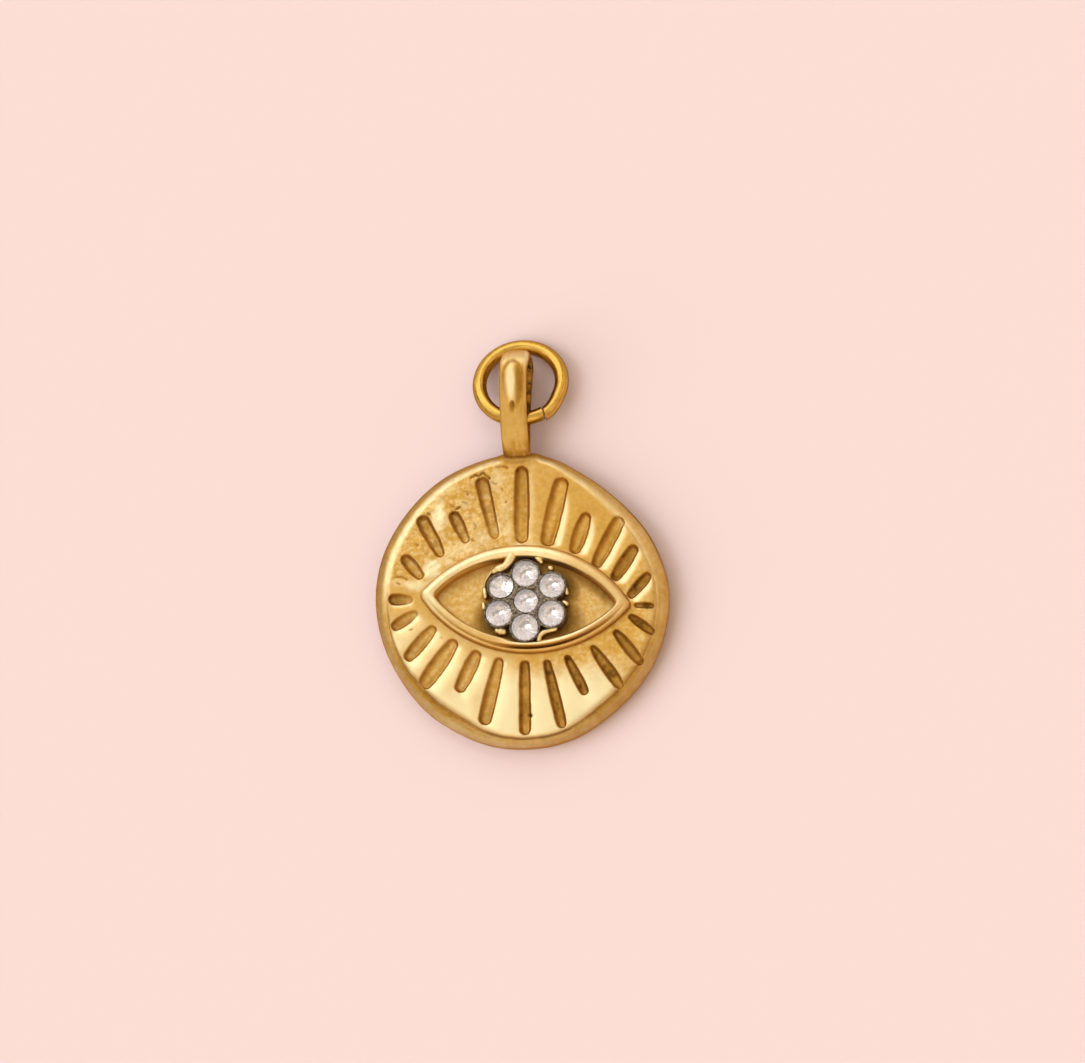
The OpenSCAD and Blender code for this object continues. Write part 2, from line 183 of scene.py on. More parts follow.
# Size and seed of the mottled and the fine change of finish over the front.
MOTTLE = (0.7, 63)
FINE_MOTTLE = (0.26, 67)

# Almond eye frame: centre, half length, half height above and below, turn, width of its ridge.
EYE_X = 0.27
EYE_Y = -0.17
EYE_L = 6.03
EYE_H = 3.13
LOWER_EYE_H = 3.03
EYE_TURN = math.radians(-5)
RIDGE_W = 0.64
# The upper lid is wider by this much over the stones.
UPPER_LID_SWELL = 0.10
# How much more the ridge's width shortens the almond than it lowers it.
CORNER_SHARE = 1.35
# Height of the sunk floor inside the frame.
FLOOR_Z = 1.35

# Stones, as in the frame: x, y, diameter.
STONES = np.array([
    (0.36, -0.32, 1.38), (0.32, 1.28, 1.50), (1.84, 0.54, 1.44), (1.79, -1.12, 1.50),
    (0.29, -1.87, 1.54), (-1.19, -0.99, 1.50), (-1.06, 0.58, 1.42),
], float)
STONE_NODES = [
    "stone_centre", "stone_top", "stone_upper_right", "stone_lower_right",
    "stone_bottom", "stone_lower_left", "stone_upper_left",
]
GIRDLE_Z = 2.06
# How far below the girdle the stones' foil begins.
FOIL_BELOW = 0.12
# Width of the setting's wall round the stones, and heights above their girdle: of the walls
# between them, of the setting's outer edge, of the foot of its steep side, and of a seat at the
# stone's edge. A seat is a cone with this slope, and stops this far above the floor.
SETTING_WALL = 0.11
WALL_TOP = 0.05
EDGE_TOP = -0.06
SIDE_LOW = -0.3
SEAT_EDGE = -0.1
SEAT_SLOPE = 0.8
SEAT_CLEAR = 0.06
# The setting stands this far above the floor.
SETTING_CLEAR = 0.02

# Bail, seen from the side: the loop's centre and radii, the hole's lower end and the neck.
LOOP_Y = 13.18
LOOP_Z = 1.6
LOOP_R = 1.42
BAND_T = 0.67
HOLE_Y = 10.5
HOLE_Z = 1.52
HOLE_R = 0.52
ROOT_Y = 7.7
NECK_Y = 8.1
NECK_LOW = 0.95
NECK_HIGH = 2.0
BAIL_X = -0.19
# Half width of the bail's band at the top of its loop, for which its section is drawn, and all
# along it, seen from the front: distance from the disc's centre, half width.
LOOP_HALF = 0.81
BAND = np.array([
    (7.7, 0.90), (8.1, 0.82), (8.5, 0.76), (9.0, 0.75), (9.6, 0.77), (11, 0.78), (13.2, 0.79),
    (13.8, LOOP_HALF), (14.2, 0.76), (14.45, 0.66), (14.57, 0.52),
], float)
# Sideways sway of the band: distance from the disc's centre, shift.
SWAY = np.array([
    (7.7, -0.04), (8.6, -0.09), (9.4, -0.12), (10.5, -0.15), (12.0, -0.15), (13.2, -0.10),
    (14.0, 0.0), (14.57, 0.04),
], float)
# The bail's foot on the face: its middle, half width and half length, and the face's rise there.
FOOT_Y = 8.3
FOOT_SIZE = (0.95, 0.40)
FOOT_RISE = 0.12
# Raised oval on the bail's front: x and y of its middle, half width, its reach upwards and
# downwards, height.
TONGUE = (-0.28, 12.45, 0.58, 1.15, 1.45, 0.13)
# Dent below the oval: x, y, half width, half height, depth.
BAIL_DENT = (-0.36, 11.05, 0.18, 0.44, 0.13)

# Jump ring: radius of the wire's circle and of the wire, its lean about the sideways direction,
# the circle's middle, just high enough for the low side to clear the floor, the cut's place, and
# half its gap as an angle.
RING_R = 2.36
WIRE_R = 0.4
RING_LEAN = math.radians(-13.5)
RING = (-0.1, 12.88, WIRE_R + 0.01 - 2.35 * math.sin(RING_LEAN))
CUT_ANGLE = math.radians(-56)
CUT_HALF = 0.006
# The saw cut leans across the wire: angle for each mm outwards.
CUT_SKEW = -0.11
# Length of each trimmed end, and its bevel: share of the wire's radius, distance from the cut.
END_LENGTH = 0.06
END_BEVEL = np.array([(0.02, 0.0), (0.45, 0.0), (0.85, 0.0), (0.96, 0.012), (1.0, 0.035)])
# The two ends stand out by this much, and the left one is a little flattened on its outer side.
RIGHT_END_OUT = 0.17
LEFT_END_OUT = 0.11
LEFT_END_FLAT = 0.14

# How finely the pieces are meshed: cells along each side of the face's grid and about half of
# one cell's width, then points along and round the frame, the bail and the ring.
FACE_CELLS = 204
HALF_CELL = 0.042
RIDGE_POINTS = (360, 32)
BAIL_POINTS = (168, 46)
RING_POINTS = (190, 32)


def linear(hex_colour):
    """Turns an sRGB hex value into linear red, green, blue and alpha."""
    parts = [int(hex_colour[i:i + 2], 16) / 255 for i in (1, 3, 5)]
    return tuple(c / 12.92 if c <= 0.04045 else ((c + 0.055) / 1.055) ** 2.4 for c in parts) + (1.0,)


def smoothstep(low, high, value):
    """Rises from 0 at low to 1 at high, with level ends."""
    t = np.clip((value - low) / (high - low), 0, 1)
    return t * t * (3 - 2 * t)


def lattice_noise(x, y, size, seed):
    """Smooth noise from -1 to 1: random values on a square lattice of the given size in mm,
    joined by smoothed bilinear steps."""
    table = np.random.default_rng(seed).uniform(-1, 1, (256, 256))
    u, v = x / size, y / size
    iu, iv = np.floor(u).astype(int), np.floor(v).astype(int)
    fu, fv = u - iu, v - iv
    fu, fv = fu * fu * (3 - 2 * fu), fv * fv * (3 - 2 * fv)
    a, b = iu % 256, iv % 256
    a1, b1 = (iu + 1) % 256, (iv + 1) % 256
    low = table[a, b] * (1 - fu) + table[a1, b] * fu
    high = table[a, b1] * (1 - fu) + table[a1, b1] * fu
    return low * (1 - fv) + high * fv


def grain(x, y, size, seed):
    """Three layers of lattice noise, each half as large and about half as strong as the last."""
    return (lattice_noise(x, y, size, seed) + 0.55 * lattice_noise(x, y, size / 2, seed + 1)
            + 0.3 * lattice_noise(x, y, size / 4, seed + 2)) / 1.85


def layer(x, y, size, height, seed):
    """Unevenness of one grain size and height."""
    return height * grain(x, y, size, seed)


def around(angle_deg, table):
    """A value that a table of angle, value gives at each angle, joined round the full turn."""
    a = np.concatenate([table[-1:, 0] - 360, table[:, 0], table[:1, 0] + 360])
    v = np.concatenate([table[-1:, 1], table[:, 1], table[:1, 1]])
    return np.interp(np.mod(angle_deg, 360), a, v)


def outline(angle_deg):
    """Radius of the disc at an angle: an ellipse less its soft dents."""
    a = np.radians(angle_deg)
    radius = DISC_RX * DISC_RY / np.hypot(DISC_RY * np.cos(a), DISC_RX * np.sin(a))
    for angle, depth, width in DENTS:
        apart = np.abs(np.mod(angle_deg - angle + 540, 360) - 180)
        radius = radius - depth * np.exp(-(apart / width) ** 2)
    return radius


def softened(angle_deg, table):
    """A table's value at each angle, averaged over nearby angles."""
    spread = np.linspace(-9, 9, 9)
    return sum(around(angle_deg + s, table) for s in spread) / len(spread)


def ray_shape(x, y):
    """Depth of the rays, depth of the worn bevels beside them, how far down its wall a point is, how dark a
    ray is painted there, and how much painted shade the land on its other side gets. Each ray is a line
    whose distance to its edge changes from one tip over its belly to the other tip. Its walls are steepest
    at the top. The bevel is wide on the side that faces the lower right of the disc. Each floor has its own
    darkness, and painted shade makes the walls of the other side, which face away from the light, and the
    tip on the left darkest, and the tip on the right lightest."""
    cut = np.zeros_like(x)
    bevel = np.zeros_like(x)
    down = np.zeros_like(x)
    tone = np.zeros_like(x)
    shaded_land = np.zeros_like(x)
    wobble = layer(x, y, *RAY_WAVER)
    for x0, y0, x1, y1, tip0, belly, tip1, d0, d1, b0, b1, darkening in RAYS:
        along = np.array([x1 - x0, y1 - y0])
        length = np.hypot(*along)
        along = along / length
        start = np.array([x0, y0]) + along * tip0
        run = length - tip0 - tip1
        place = ((x - start[0]) * along[0] + (y - start[1]) * along[1]) / run
        t = np.clip(place, 0, 1)
        from_x, from_y = x - start[0] - t * run * along[0], y - start[1] - t * run * along[1]
        apart = np.hypot(from_x, from_y)
        swell = belly - (tip0 + tip1) / 2
        half = tip0 + (tip1 - tip0) * t + swell * (1 - np.abs(2 * t - 1) ** 2.5)
        inside = half - apart + wobble
        full = d0 + (d1 - d0) * t
        side = (from_x * BEVEL_WAY[0] + from_y * BEVEL_WAY[1]) / np.maximum(apart, 0.12)
        wall = RAY_WALLS[0] + (RAY_WALLS[1] - RAY_WALLS[0]) * smoothstep(-0.8, 0.9, side)
        reach = 1 - (1 - np.clip(inside / np.minimum(wall, 0.75 * half), 0, 1)) ** 1.8
        middle = 1 - (1 - np.clip(inside / half, 0, 1)) ** 2
        dip = full * (0.88 * reach + 0.12 * middle)
        worn = np.clip(side, 0, 1) * smoothstep(0.15, 0.9, apart / half)
        roll = np.clip(1 + inside / (0.08 + BEVEL_WIDTH * worn), 0, 1)
        past = smoothstep(0.45, 0.0, -place * run)
        wear = b0 + (b1 - b0) * t
        bevel = np.maximum(bevel, BEVEL_DEPTH * wear * worn * roll * roll * past)
        # Painted shade: the tip on the left and the wall on the side away from the light are painted darker.
        tip = t if x1 > x0 else 1 - t
        floor = darkening + 0.22 * smoothstep(0.30, 0.0, tip) - 0.25 * smoothstep(0.75, 1.0, tip)
        shade = np.clip(floor, 0, 0.86) * middle + (1 - middle) * (0.55 - 0.45 * side)
        tone = np.where(dip > cut, shade, tone)
        down = np.maximum(down, reach)
        cut = np.maximum(cut, dip)
        # Painted shade on the land beyond the wall that faces away from the light.
        beside = np.clip(-1.2 * side, 0, 1) * np.clip(1 + inside / 0.6, 0, 1)
        shaded_land = np.maximum(shaded_land, beside * wear)
    return cut, bevel, down, tone, shaded_land


def eye_frame_coordinates(x, y):
    """Coordinates along and across the turned eye."""
    c, s = math.cos(-EYE_TURN), math.sin(-EYE_TURN)
    dx, dy = x - EYE_X, y - EYE_Y
    return dx * c - dy * s, dx * s + dy * c


def almond_height(x, half_length, half_height):
    """Half height of an almond of two arcs, at a place along it."""
    r = (half_length ** 2 + half_height ** 2) / (2 * half_height)
    return np.sqrt(np.maximum(r * r - x * x, 0)) - (r - half_height)


def almond_inside(x, y, inset):
    """About how far inside the almond a point is, after the outline is drawn in by an inset."""
    u, v = eye_frame_coordinates(x, y)
    half_length = EYE_L - inset * CORNER_SHARE
    half_height = EYE_H - inset
    h = almond_height(np.clip(u, -half_length, half_length), half_length, half_height)
    slope = np.hypot(1.0, half_height / half_length * 1.1)
    beyond = np.maximum(np.abs(u) - half_length, 0)
    return (h - np.abs(v)) / slope - beyond


def polish_and_sheen_of_face(x, y):
    """How polished the face is, from 0 for matt grainy casting to 1 for bright: the lower left and the lower
    edge are polished, the upper face and the right are left as cast. Patches add painted highlights and
    painted shade, and the land just below the lower lid is painted in shade."""
    edge = 0.5 * grain(x, y, 1.6, 21)
    start = -0.9 - 3.3 * smoothstep(-3.0, 0.8, x)
    down = smoothstep(start + 1.0, start - 1.2, y + edge)
    right = smoothstep(4.6, 6.2, x + edge)
    polish = 0.08 + (0.92 - 0.10 * smoothstep(-0.5, -3.5, x)) * down * (1 - 0.8 * right)
    ragged = 0.55 * grain(x, y, 0.45, 23)
    # The patches paint highlights, and painted shade where their strength is negative.
    for px, py, half_x, half_y, strength in PATCHES:
        apart = np.hypot((x - px) / half_x, (y - py) / half_y) + ragged
        polish = polish + 0.7 * strength * smoothstep(1.5, 0.1, apart)
    # The land just below the lower lid gets painted shade: its polish is lowered.
    from_lid = -almond_inside(x, y, 0.0) + 0.25 * ragged
    under_lid_shade = smoothstep(1.5, 0.1, from_lid) * smoothstep(0.5, -1.0, y)
    return np.clip(polish * (1 - 0.7 * under_lid_shade), 0, 1)


def unevenness(x, y):
    """How pitted the casting is: most at the upper left, less at the upper right, and a little
    between the lower right rays."""
    left = smoothstep(2.0, -1.5, x + 0.1 * y)
    up = smoothstep(0.0, 2.5, y)
    low = smoothstep(-6.0, -3.8, y) * smoothstep(-1.0, 1.5, x)
    return up * (0.12 + 0.88 * left) + 0.65 * (1 - up) * low


def scar_depth(x, y):
    """Depth of the scars: each is a ragged notch round a chain of straight pieces."""
    depth = np.zeros_like(x)
    ragged = layer(x, y, *SCAR_WAVER)
    for chain, width, deep in SCARS:
        for (x0, y0), (x1, y1) in zip(chain[:-1], chain[1:]):
            run = (x1 - x0) ** 2 + (y1 - y0) ** 2
            t = np.clip(((x - x0) * (x1 - x0) + (y - y0) * (y1 - y0)) / run, 0, 1)
            apart = np.hypot(x - x0 - t * (x1 - x0), y - y0 - t * (y1 - y0)) + ragged
            depth = np.maximum(depth, deep * np.clip(1 - apart / width, 0, 1) ** 1.4)
    return depth


def quads(rows, columns, wrap_columns=False, wrap_rows=False, start=0):
    """Faces between neighbouring points of a grid that is stored row after row."""
    r = np.arange(rows if wrap_rows else rows - 1)
    c = np.arange(columns if wrap_columns else columns - 1)
    r, c = np.meshgrid(r, c, indexing="ij")
    r1, c1 = (r + 1) % rows, (c + 1) % columns
    return (start + np.stack([r * columns + c, r * columns + c1, r1 * columns + c1, r1 * columns + c],
                             axis=-1)).reshape(-1, 4)


def split_cells(points, cells):
    """Splits cells of four points into two triangles along the diagonal whose ends are most
    alike in height, so that the edge of a groove that crosses the cells stays even."""
    z = points[:, 2][cells]
    a, b, c, d = cells.T
    level = np.abs(z[:, 0] - z[:, 2]) <= np.abs(z[:, 1] - z[:, 3])
    one = np.stack([a, b, np.where(level, c, d)], axis=-1)
    two = np.stack([np.where(level, a, b), c, d], axis=-1)
    return np.concatenate([one, two])


class Shell:
    """One closed surface of a piece: points in mm, faces, and values at its points. Its normals
    are worked out from the faces, but where the shell brings its own, as arrows whose length is
    their share, those are mixed in."""

    def __init__(self, points, faces, normals=None, **values):
        self.points = np.asarray(points, float)
        self.faces = [tuple(f) for f in faces]
        self.normals = np.zeros_like(self.points) if normals is None else normals
        self.values = {k: np.broadcast_to(v, len(self.points)) for k, v in values.items()}


def make_piece(name, shells):
    """Joins shells into one mesh object in metres and stores their values as attributes."""
    points = np.concatenate([s.points for s in shells]) * MM
    faces, start = [], 0
    for s in shells:
        faces += [tuple(int(i) + start for i in f) for f in s.faces]
        start += len(s.points)
    mesh = bpy.data.meshes.new(name)
    mesh.from_pydata(points, [], faces)
    mesh.update()
    names = sorted({k for s in shells for k in s.values})
    for k in names:
        value = np.concatenate([s.values.get(k, np.zeros(len(s.points))) for s in shells])
        attribute = mesh.attributes.new(k, "FLOAT", "POINT")
        attribute.data.foreach_set("value", value.astype(np.float32))
    mesh.polygons.foreach_set("use_smooth", np.full(len(mesh.polygons), True))
    own = np.concatenate([s.normals for s in shells])
    if own.any():
        normals = np.empty(3 * len(points))
        mesh.vertex_normals.foreach_get("vector", normals)
        normals = own + normals.reshape(-1, 3) * (1 - np.linalg.norm(own, axis=1, keepdims=True))
        normals /= np.linalg.norm(normals, axis=1, keepdims=True)
        mesh.normals_split_custom_set_from_vertices(normals)
    piece = bpy.data.objects.new(name, mesh)
    bpy.context.scene.collection.objects.link(piece)
    return piece


def rim_place(x, y):
    """Where points are on the rim: their share of its width from the outside, which wavers where
    the rim is stepped, how stepped the rim is there, and its width."""
    angle = np.degrees(np.arctan2(y, x))
    width = softened(angle, RIM_WIDTHS)
    stepped = softened(angle, STEP_SHARE)
    waver = layer(x, y, *STEP_WAVER) + layer(x, y, *FINE_STEP_WAVER)
    share = (outline(angle) - np.hypot(x, y)) / width + stepped * waver
    return np.clip(share, 0, 2), stepped, width


def rim_section(share, stepped):
    """Height of the rim as a share of the face's: its soft and its stepped section, mixed."""
    soft, step = spline(RIM_SOFT, 200)[::-1], spline(RIM_STEP, 200)[::-1]
    return (np.interp(share, soft[:, 0], soft[:, 1]) * (1 - stepped)
            + np.interp(share, step[:, 0], step[:, 1]) * stepped)


def rim_shade_and_sheen(x, y, share, stepped, width, mottle, fine):
    """Painted shade and polish of the rim, how far a point belongs to it, and its gutter. Painted shade
    darkens a thin crease under its step, the gutter outside that, its outer edge, where random mottle adds
    to it, and the roll-off where the face meets it. Painted highlights make it shine where it faces the
    upper left, along a line at the upper right, on its outside at the left, and at the bottom; the mottle in
    its polish is the finish's own."""
    lit = np.clip((0.65 * y - 0.75 * x) / 8, -1, 1)
    bottom = smoothstep(-6.6, -7.8, y)
    upper_right = smoothstep(3.0, 6.5, 0.5 * x + 0.8 * y) * smoothstep(-1.0, 1.0, x)
    low = 0.12 + 0.88 * smoothstep(-3.2, -1.6, x) * smoothstep(4.0, 2.4, x)
    # Painted shade: crease, gutter, outer edge, roll-off and the upper right's outer edge.
    crease = stepped * low * np.exp(-((share - 0.96) * width / 0.06) ** 2)
    gutter = stepped * smoothstep(0.45, 0.70, share) * smoothstep(1.06, 0.96, share) * (1 - 0.6 * bottom)
    skirt = np.clip((0.22 + 0.40 * lit) * smoothstep(0.70, 0.50, share) + 0.14 * mottle, 0, 1)
    roll = 0.48 * stepped * smoothstep(1.55, 1.06, share)
    edge = 0.85 * upper_right * smoothstep(0.22, 0.06, share)
    tone = np.max([crease, (0.66 + 0.18 * fine) * gutter, skirt, roll, edge], axis=0)
    # Painted highlights: the side facing the upper left, a line at the upper right, the outside at the left,
    # the bottom.
    bright = np.clip(1.6 * lit, 0, 1) * smoothstep(-1.2, 1.0, y) * smoothstep(0.58, 0.84, share)
    bright = bright * (0.92 - 0.32 * smoothstep(-4.2, -2.6, x)) * (0.75 + 0.25 * smoothstep(0.0, 2.5, y))
    line = upper_right * np.exp(-((share - 0.92) / 0.22) ** 2)
    outer = stepped * smoothstep(0.52, 0.36, share) * smoothstep(3.0, -2.0, x)
    polish = 0.30 + 0.22 * mottle + 0.10 * fine + 0.70 * bright + 0.34 * line + 0.42 * outer + 0.18 * bottom
    band = 1 - smoothstep(0.95, 1.15 + 0.2 * (1 - stepped), share)
    return tone, polish, band, gutter


def floor_darkening(x, y):
    """How dark the eye's sunk floor is painted: painted shade under the upper lid and along the frame's
    foot, and a darker halo round the stones that reaches farthest to the right and downwards."""
    inner = almond_inside(x, y, RIDGE_W)
    across = eye_frame_coordinates(x, y)[1]
    # Painted shade under the upper lid and along the frame's foot.
    wall = smoothstep(0.85, 0.30, inner + 0.1 * grain(x, y, 0.5, 73)) * smoothstep(-0.5, 0.6, across)
    wall = wall * (1 - 0.4 * np.exp(-((x - 0.2) / 0.7) ** 2)) * (0.30 + 0.54 * smoothstep(-1.5, 0.7, x))
    foot = 0.45 * smoothstep(0.22, 0.0, inner)
    gap = np.min([np.hypot(x - s[0], y - s[1]) - s[2] / 2 for s in STONES], axis=0)
    gap = gap + 0.12 * grain(x, y, 0.5, 71)
    reach = 0.68 + 0.50 * smoothstep(1.2, 2.6, x) + 0.35 * smoothstep(-0.7, -1.7, y)
    reach = reach - 0.22 * smoothstep(0.0, 0.9, y) * smoothstep(0.5, -0.5, x)
    reach = reach + 0.30 * smoothstep(-1.0, -2.2, x) * smoothstep(0.6, -0.4, y)
    halo = 0.82 * smoothstep(reach, reach * 0.45, gap) + 0.08 * smoothstep(0.55 * reach, 0.2 * reach, gap)
    halo = halo * (1 - 0.35 * smoothstep(0.9, 1.8, y) * smoothstep(1.6, 0.6, x))
    return np.max([wall, foot, halo], axis=0)


def face_height(x, y):
    """Height of the front, with how dark, how polished and how gritty it is. The height is a face with the
    casting's unevenness, less rays, bevels and scars, and the eye's sunk floor, all carried down at the edge
    by the rim's section. The darkness is oxide in the hollows and painted shade on the rays' shaded walls,
    the rim and the eye's floor; the polish lightens the colour, partly as painted highlight."""
    share, stepped, width = rim_place(x, y)
    polish = polish_and_sheen_of_face(x, y)
    pitted = unevenness(x, y)
    cut, bevel, down, tone, shaded_land = ray_shape(x, y)
    scar = scar_depth(x, y)
    sunk = smoothstep(-0.1, 0.1, almond_inside(x, y, 0.5 * RIDGE_W))
    land = 1 - sunk
    height = (FACE_Z + layer(x, y, *FACE_WAVES)) * land + FLOOR_Z * sunk
    height += land * pitted * (layer(x, y, *WIDE_PITS) + layer(x, y, *FINE_PITS))
    height += (land * (1 - polish) + 1.9 * sunk) * layer(x, y, *SKIN) + layer(x, y, *SKIN_WAVES)
    height += sunk * layer(x, y, *FLOOR_WAVES) + down * land * layer(x, y, *RAY_GRAIN)
    height -= land * (cut + bevel + scar) + FACE_Z * (1 - rim_section(share, stepped))
    near = np.hypot((x - BAIL_X) / FOOT_SIZE[0], (y - FOOT_Y) / FOOT_SIZE[1])
    height += FOOT_RISE * smoothstep(1.5, 0.5, near)

    mottle, fine = grain(x, y, *MOTTLE), grain(x, y, *FINE_MOTTLE)
    rim_shade, rim_polish_and_sheen, band, gutter = rim_shade_and_sheen(x, y, share, stepped, width, mottle, fine)
    groove = smoothstep(0.0, 0.07, cut) * np.clip(tone + 0.12 * mottle + 0.28 * fine, 0, 1)
    # The face is darker round the bail's foot.
    foot = 0.55 * smoothstep(1.2, 0.75, near + 0.3 * mottle)
    open_darkening = np.max([groove, smoothstep(0.0, 0.05, scar), foot], axis=0)
    hollow = np.max([land * open_darkening, sunk * floor_darkening(x, y), rim_shade], axis=0)

    # The worn bevels' polish is partly a painted highlight on the side facing the light; the land beside
    # each ray's shaded wall gets painted shade by losing polish.
    worn = smoothstep(0.006, 0.05, bevel) * (1 - smoothstep(0.0, 0.10, cut))
    polish = polish * (1 - 0.55 * smoothstep(1.5, -1.5, y) * np.clip(shaded_land, 0, 1))
    polish = polish * (1 - smoothstep(0.02, 0.14, cut))
    polish = np.maximum(polish, land * np.maximum(0.82 * worn, 0.13 * down * smoothstep(0.5, -3.0, x)))
    rim_polish_and_sheen = rim_polish_and_sheen * (1 - 0.9 * smoothstep(1.5, 1.0, near))
    polish = (polish * (1 - band) + band * rim_polish_and_sheen) * (1 - 0.9 * gutter)
    polish = np.where(sunk > 0.5, 0.16 + 0.12 * mottle, polish)
    grit = np.clip(1.1 - polish, 0, 1) * (1 - 0.5 * band) * (0.15 + 0.85 * pitted)
    grit = np.maximum(grit, 0.5 * down * land + 0.75 * sunk * (1 - hollow) + 0.35 * band)
    return height, hollow, polish, grit


def averaged_face(x, y):
    """Position, values and normal of the front at points: averages over each point and four
    neighbours half a cell away, so that the edges of the grooves don't follow the cells. The
    normal comes from the slopes between opposite neighbours, and fades out on the steep rim."""
    here = np.stack(face_height(x, y))
    east, west = (np.stack(face_height(x + step, y)) for step in (HALF_CELL, -HALF_CELL))
    north, south = (np.stack(face_height(x, y + step)) for step in (HALF_CELL, -HALF_CELL))
    mean = (2 * here + east + west + north + south) / 6
    slope_x = (east[0] - west[0]) / (2 * HALF_CELL)
    slope_y = (north[0] - south[0]) / (2 * HALF_CELL)
    angle = np.degrees(np.arctan2(y, x))
    share = (outline(angle) - np.hypot(x, y)) / softened(angle, RIM_WIDTHS)
    known = smoothstep(0.35, 0.75, share)
    mean[0] = here[0] + (mean[0] - here[0]) * known
    size = np.sqrt(1 + slope_x ** 2 + slope_y ** 2) / known.clip(1e-9)
    return np.stack([x, y, *mean, -slope_x / size, -slope_y / size, 1 / size], axis=-1).reshape(-1, 9)


def plain_row(radius, a, level, finish):
    """A ring of points at angles a, with one finish and no normals of its own."""
    rest = np.broadcast_to((*finish, 0, 0, 0), (len(a), 6))
    return np.column_stack([radius * np.cos(a), radius * np.sin(a), level + 0 * a, rest])


def disc_shell(cells):
    """The disc: a square grid bent into a circle for the face, then rings of points over the
    rim and the back, closed by a fan. The square's point u, v goes to
    u*sqrt(1 - v*v/2), v*sqrt(1 - u*u/2)."""
    line = np.linspace(-1, 1, cells + 1)
    u, v = np.meshgrid(line, line, indexing="ij")
    p, q = u * np.sqrt(1 - v * v / 2), v * np.sqrt(1 - u * u / 2)
    angle = np.degrees(np.arctan2(q, p))
    edge, width = outline(angle), softened(angle, RIM_WIDTHS)
    radius = np.hypot(p, q) * (edge - FACE_STOP * width)
    a = np.radians(angle)
    rows = [averaged_face(radius * np.cos(a), radius * np.sin(a))]

    n = cells + 1
    ids = np.arange(n * n).reshape(n, n)
    loop = np.concatenate([ids[:-1, 0], ids[-1, :-1], ids[:0:-1, -1], ids[0, :0:-1]])
    edge, width, a = (g.ravel()[loop] for g in (edge, width, a))
    for share in RIM_RINGS[1:]:
        radius = edge - share * width
        rows.append(averaged_face(radius * np.cos(a), radius * np.sin(a)))
    last = rows[-1][:, 2]
    for k, (share, level) in enumerate(spline(RIM_UNDER, 9)[1:]):
        # What the rim's last ring stands off its section fades out over four more rings.
        fade = (last - RIM_UNDER[0, 1] * FACE_Z) * max(0, 1 - (k + 1) / 5)
        rows.append(plain_row(edge - share * width, a, level * FACE_Z + fade, EDGE_FINISH))
    for share in (0.8, 0.4):
        rows.append(plain_row(share * edge, a, 0.0, BACK_FINISH))
    faces = []
    previous, total = loop, n * n
    for _ in rows[1:]:
        here = total + np.arange(len(loop))
        faces.append(np.stack([previous, here, np.roll(here, -1), np.roll(previous, -1)], axis=-1))
        previous, total = here, total + len(loop)
    rows.append(plain_row(0.0, np.zeros(1), 0.0, BACK_FINISH))
    fan = np.stack([previous, np.full(len(loop), total), np.roll(previous, -1)], axis=-1)
    table = np.concatenate(rows)
    front = split_cells(table, quads(n, n)[:, ::-1])
    all_faces = [tuple(f) for part in (front, np.concatenate(faces), fan) for f in part]
    hollow, polish, grit = table[:, 3:6].T
    return Shell(table[:, :3], all_faces, table[:, 6:], hollow=hollow, polish=polish, grit=grit)


def spline(points, count):
    """A smooth curve through points, open, with evenly many points between each pair: each
    piece is a cubic whose slope at a point runs along the line between its neighbours."""
    p = np.asarray(points, float)
    p = np.concatenate([[2 * p[0] - p[1]], p, [2 * p[-1] - p[-2]]])
    t = np.linspace(0, len(p) - 3, count)
    i = np.clip(np.floor(t).astype(int), 0, len(p) - 4)
    f = (t - i)[:, None]
    a, b, c, d = p[i], p[i + 1], p[i + 2], p[i + 3]
    return 0.5 * (2 * b + (c - a) * f + (2 * a - 5 * b + 4 * c - d) * f ** 2
                  + (3 * b - a - 3 * c + d) * f ** 3)


# Section of the almond frame from outside to inside: share of the ridge's width, height. The
# upper lid is one round band. The lower lid is a flat band with a thin line outside on the
# left, and a narrow crest, a crease and a low band on the right.
UPPER_LID = [
    (-0.14, 1.35), (-0.13, 1.6), (-0.08, 1.85), (0.0, 1.98), (0.12, 2.07), (0.28, 2.13), (0.48, 2.16),
    (0.66, 2.15), (0.80, 2.10), (0.90, 1.99), (0.97, 1.78), (1.01, 1.42), (1.02, 1.15),
]
LOWER_LEFT_LID = [
    (-0.2, 1.35), (-0.17, 1.62), (-0.1, 1.82), (0.0, 1.93), (0.1, 1.93), (0.2, 1.91), (0.3, 2.03),
    (0.42, 2.1), (0.6, 2.12), (0.78, 2.14), (0.92, 2.05), (1.0, 1.6), (1.02, 1.15),
]
LOWER_RIGHT_LID = [
    (-0.2, 1.35), (-0.17, 1.6), (-0.08, 1.77), (0.06, 1.86), (0.2, 1.84), (0.3, 1.62), (0.36, 1.86),
    (0.44, 2.10), (0.56, 2.17), (0.76, 2.12), (0.9, 1.98), (1.0, 1.6), (1.02, 1.15),
]


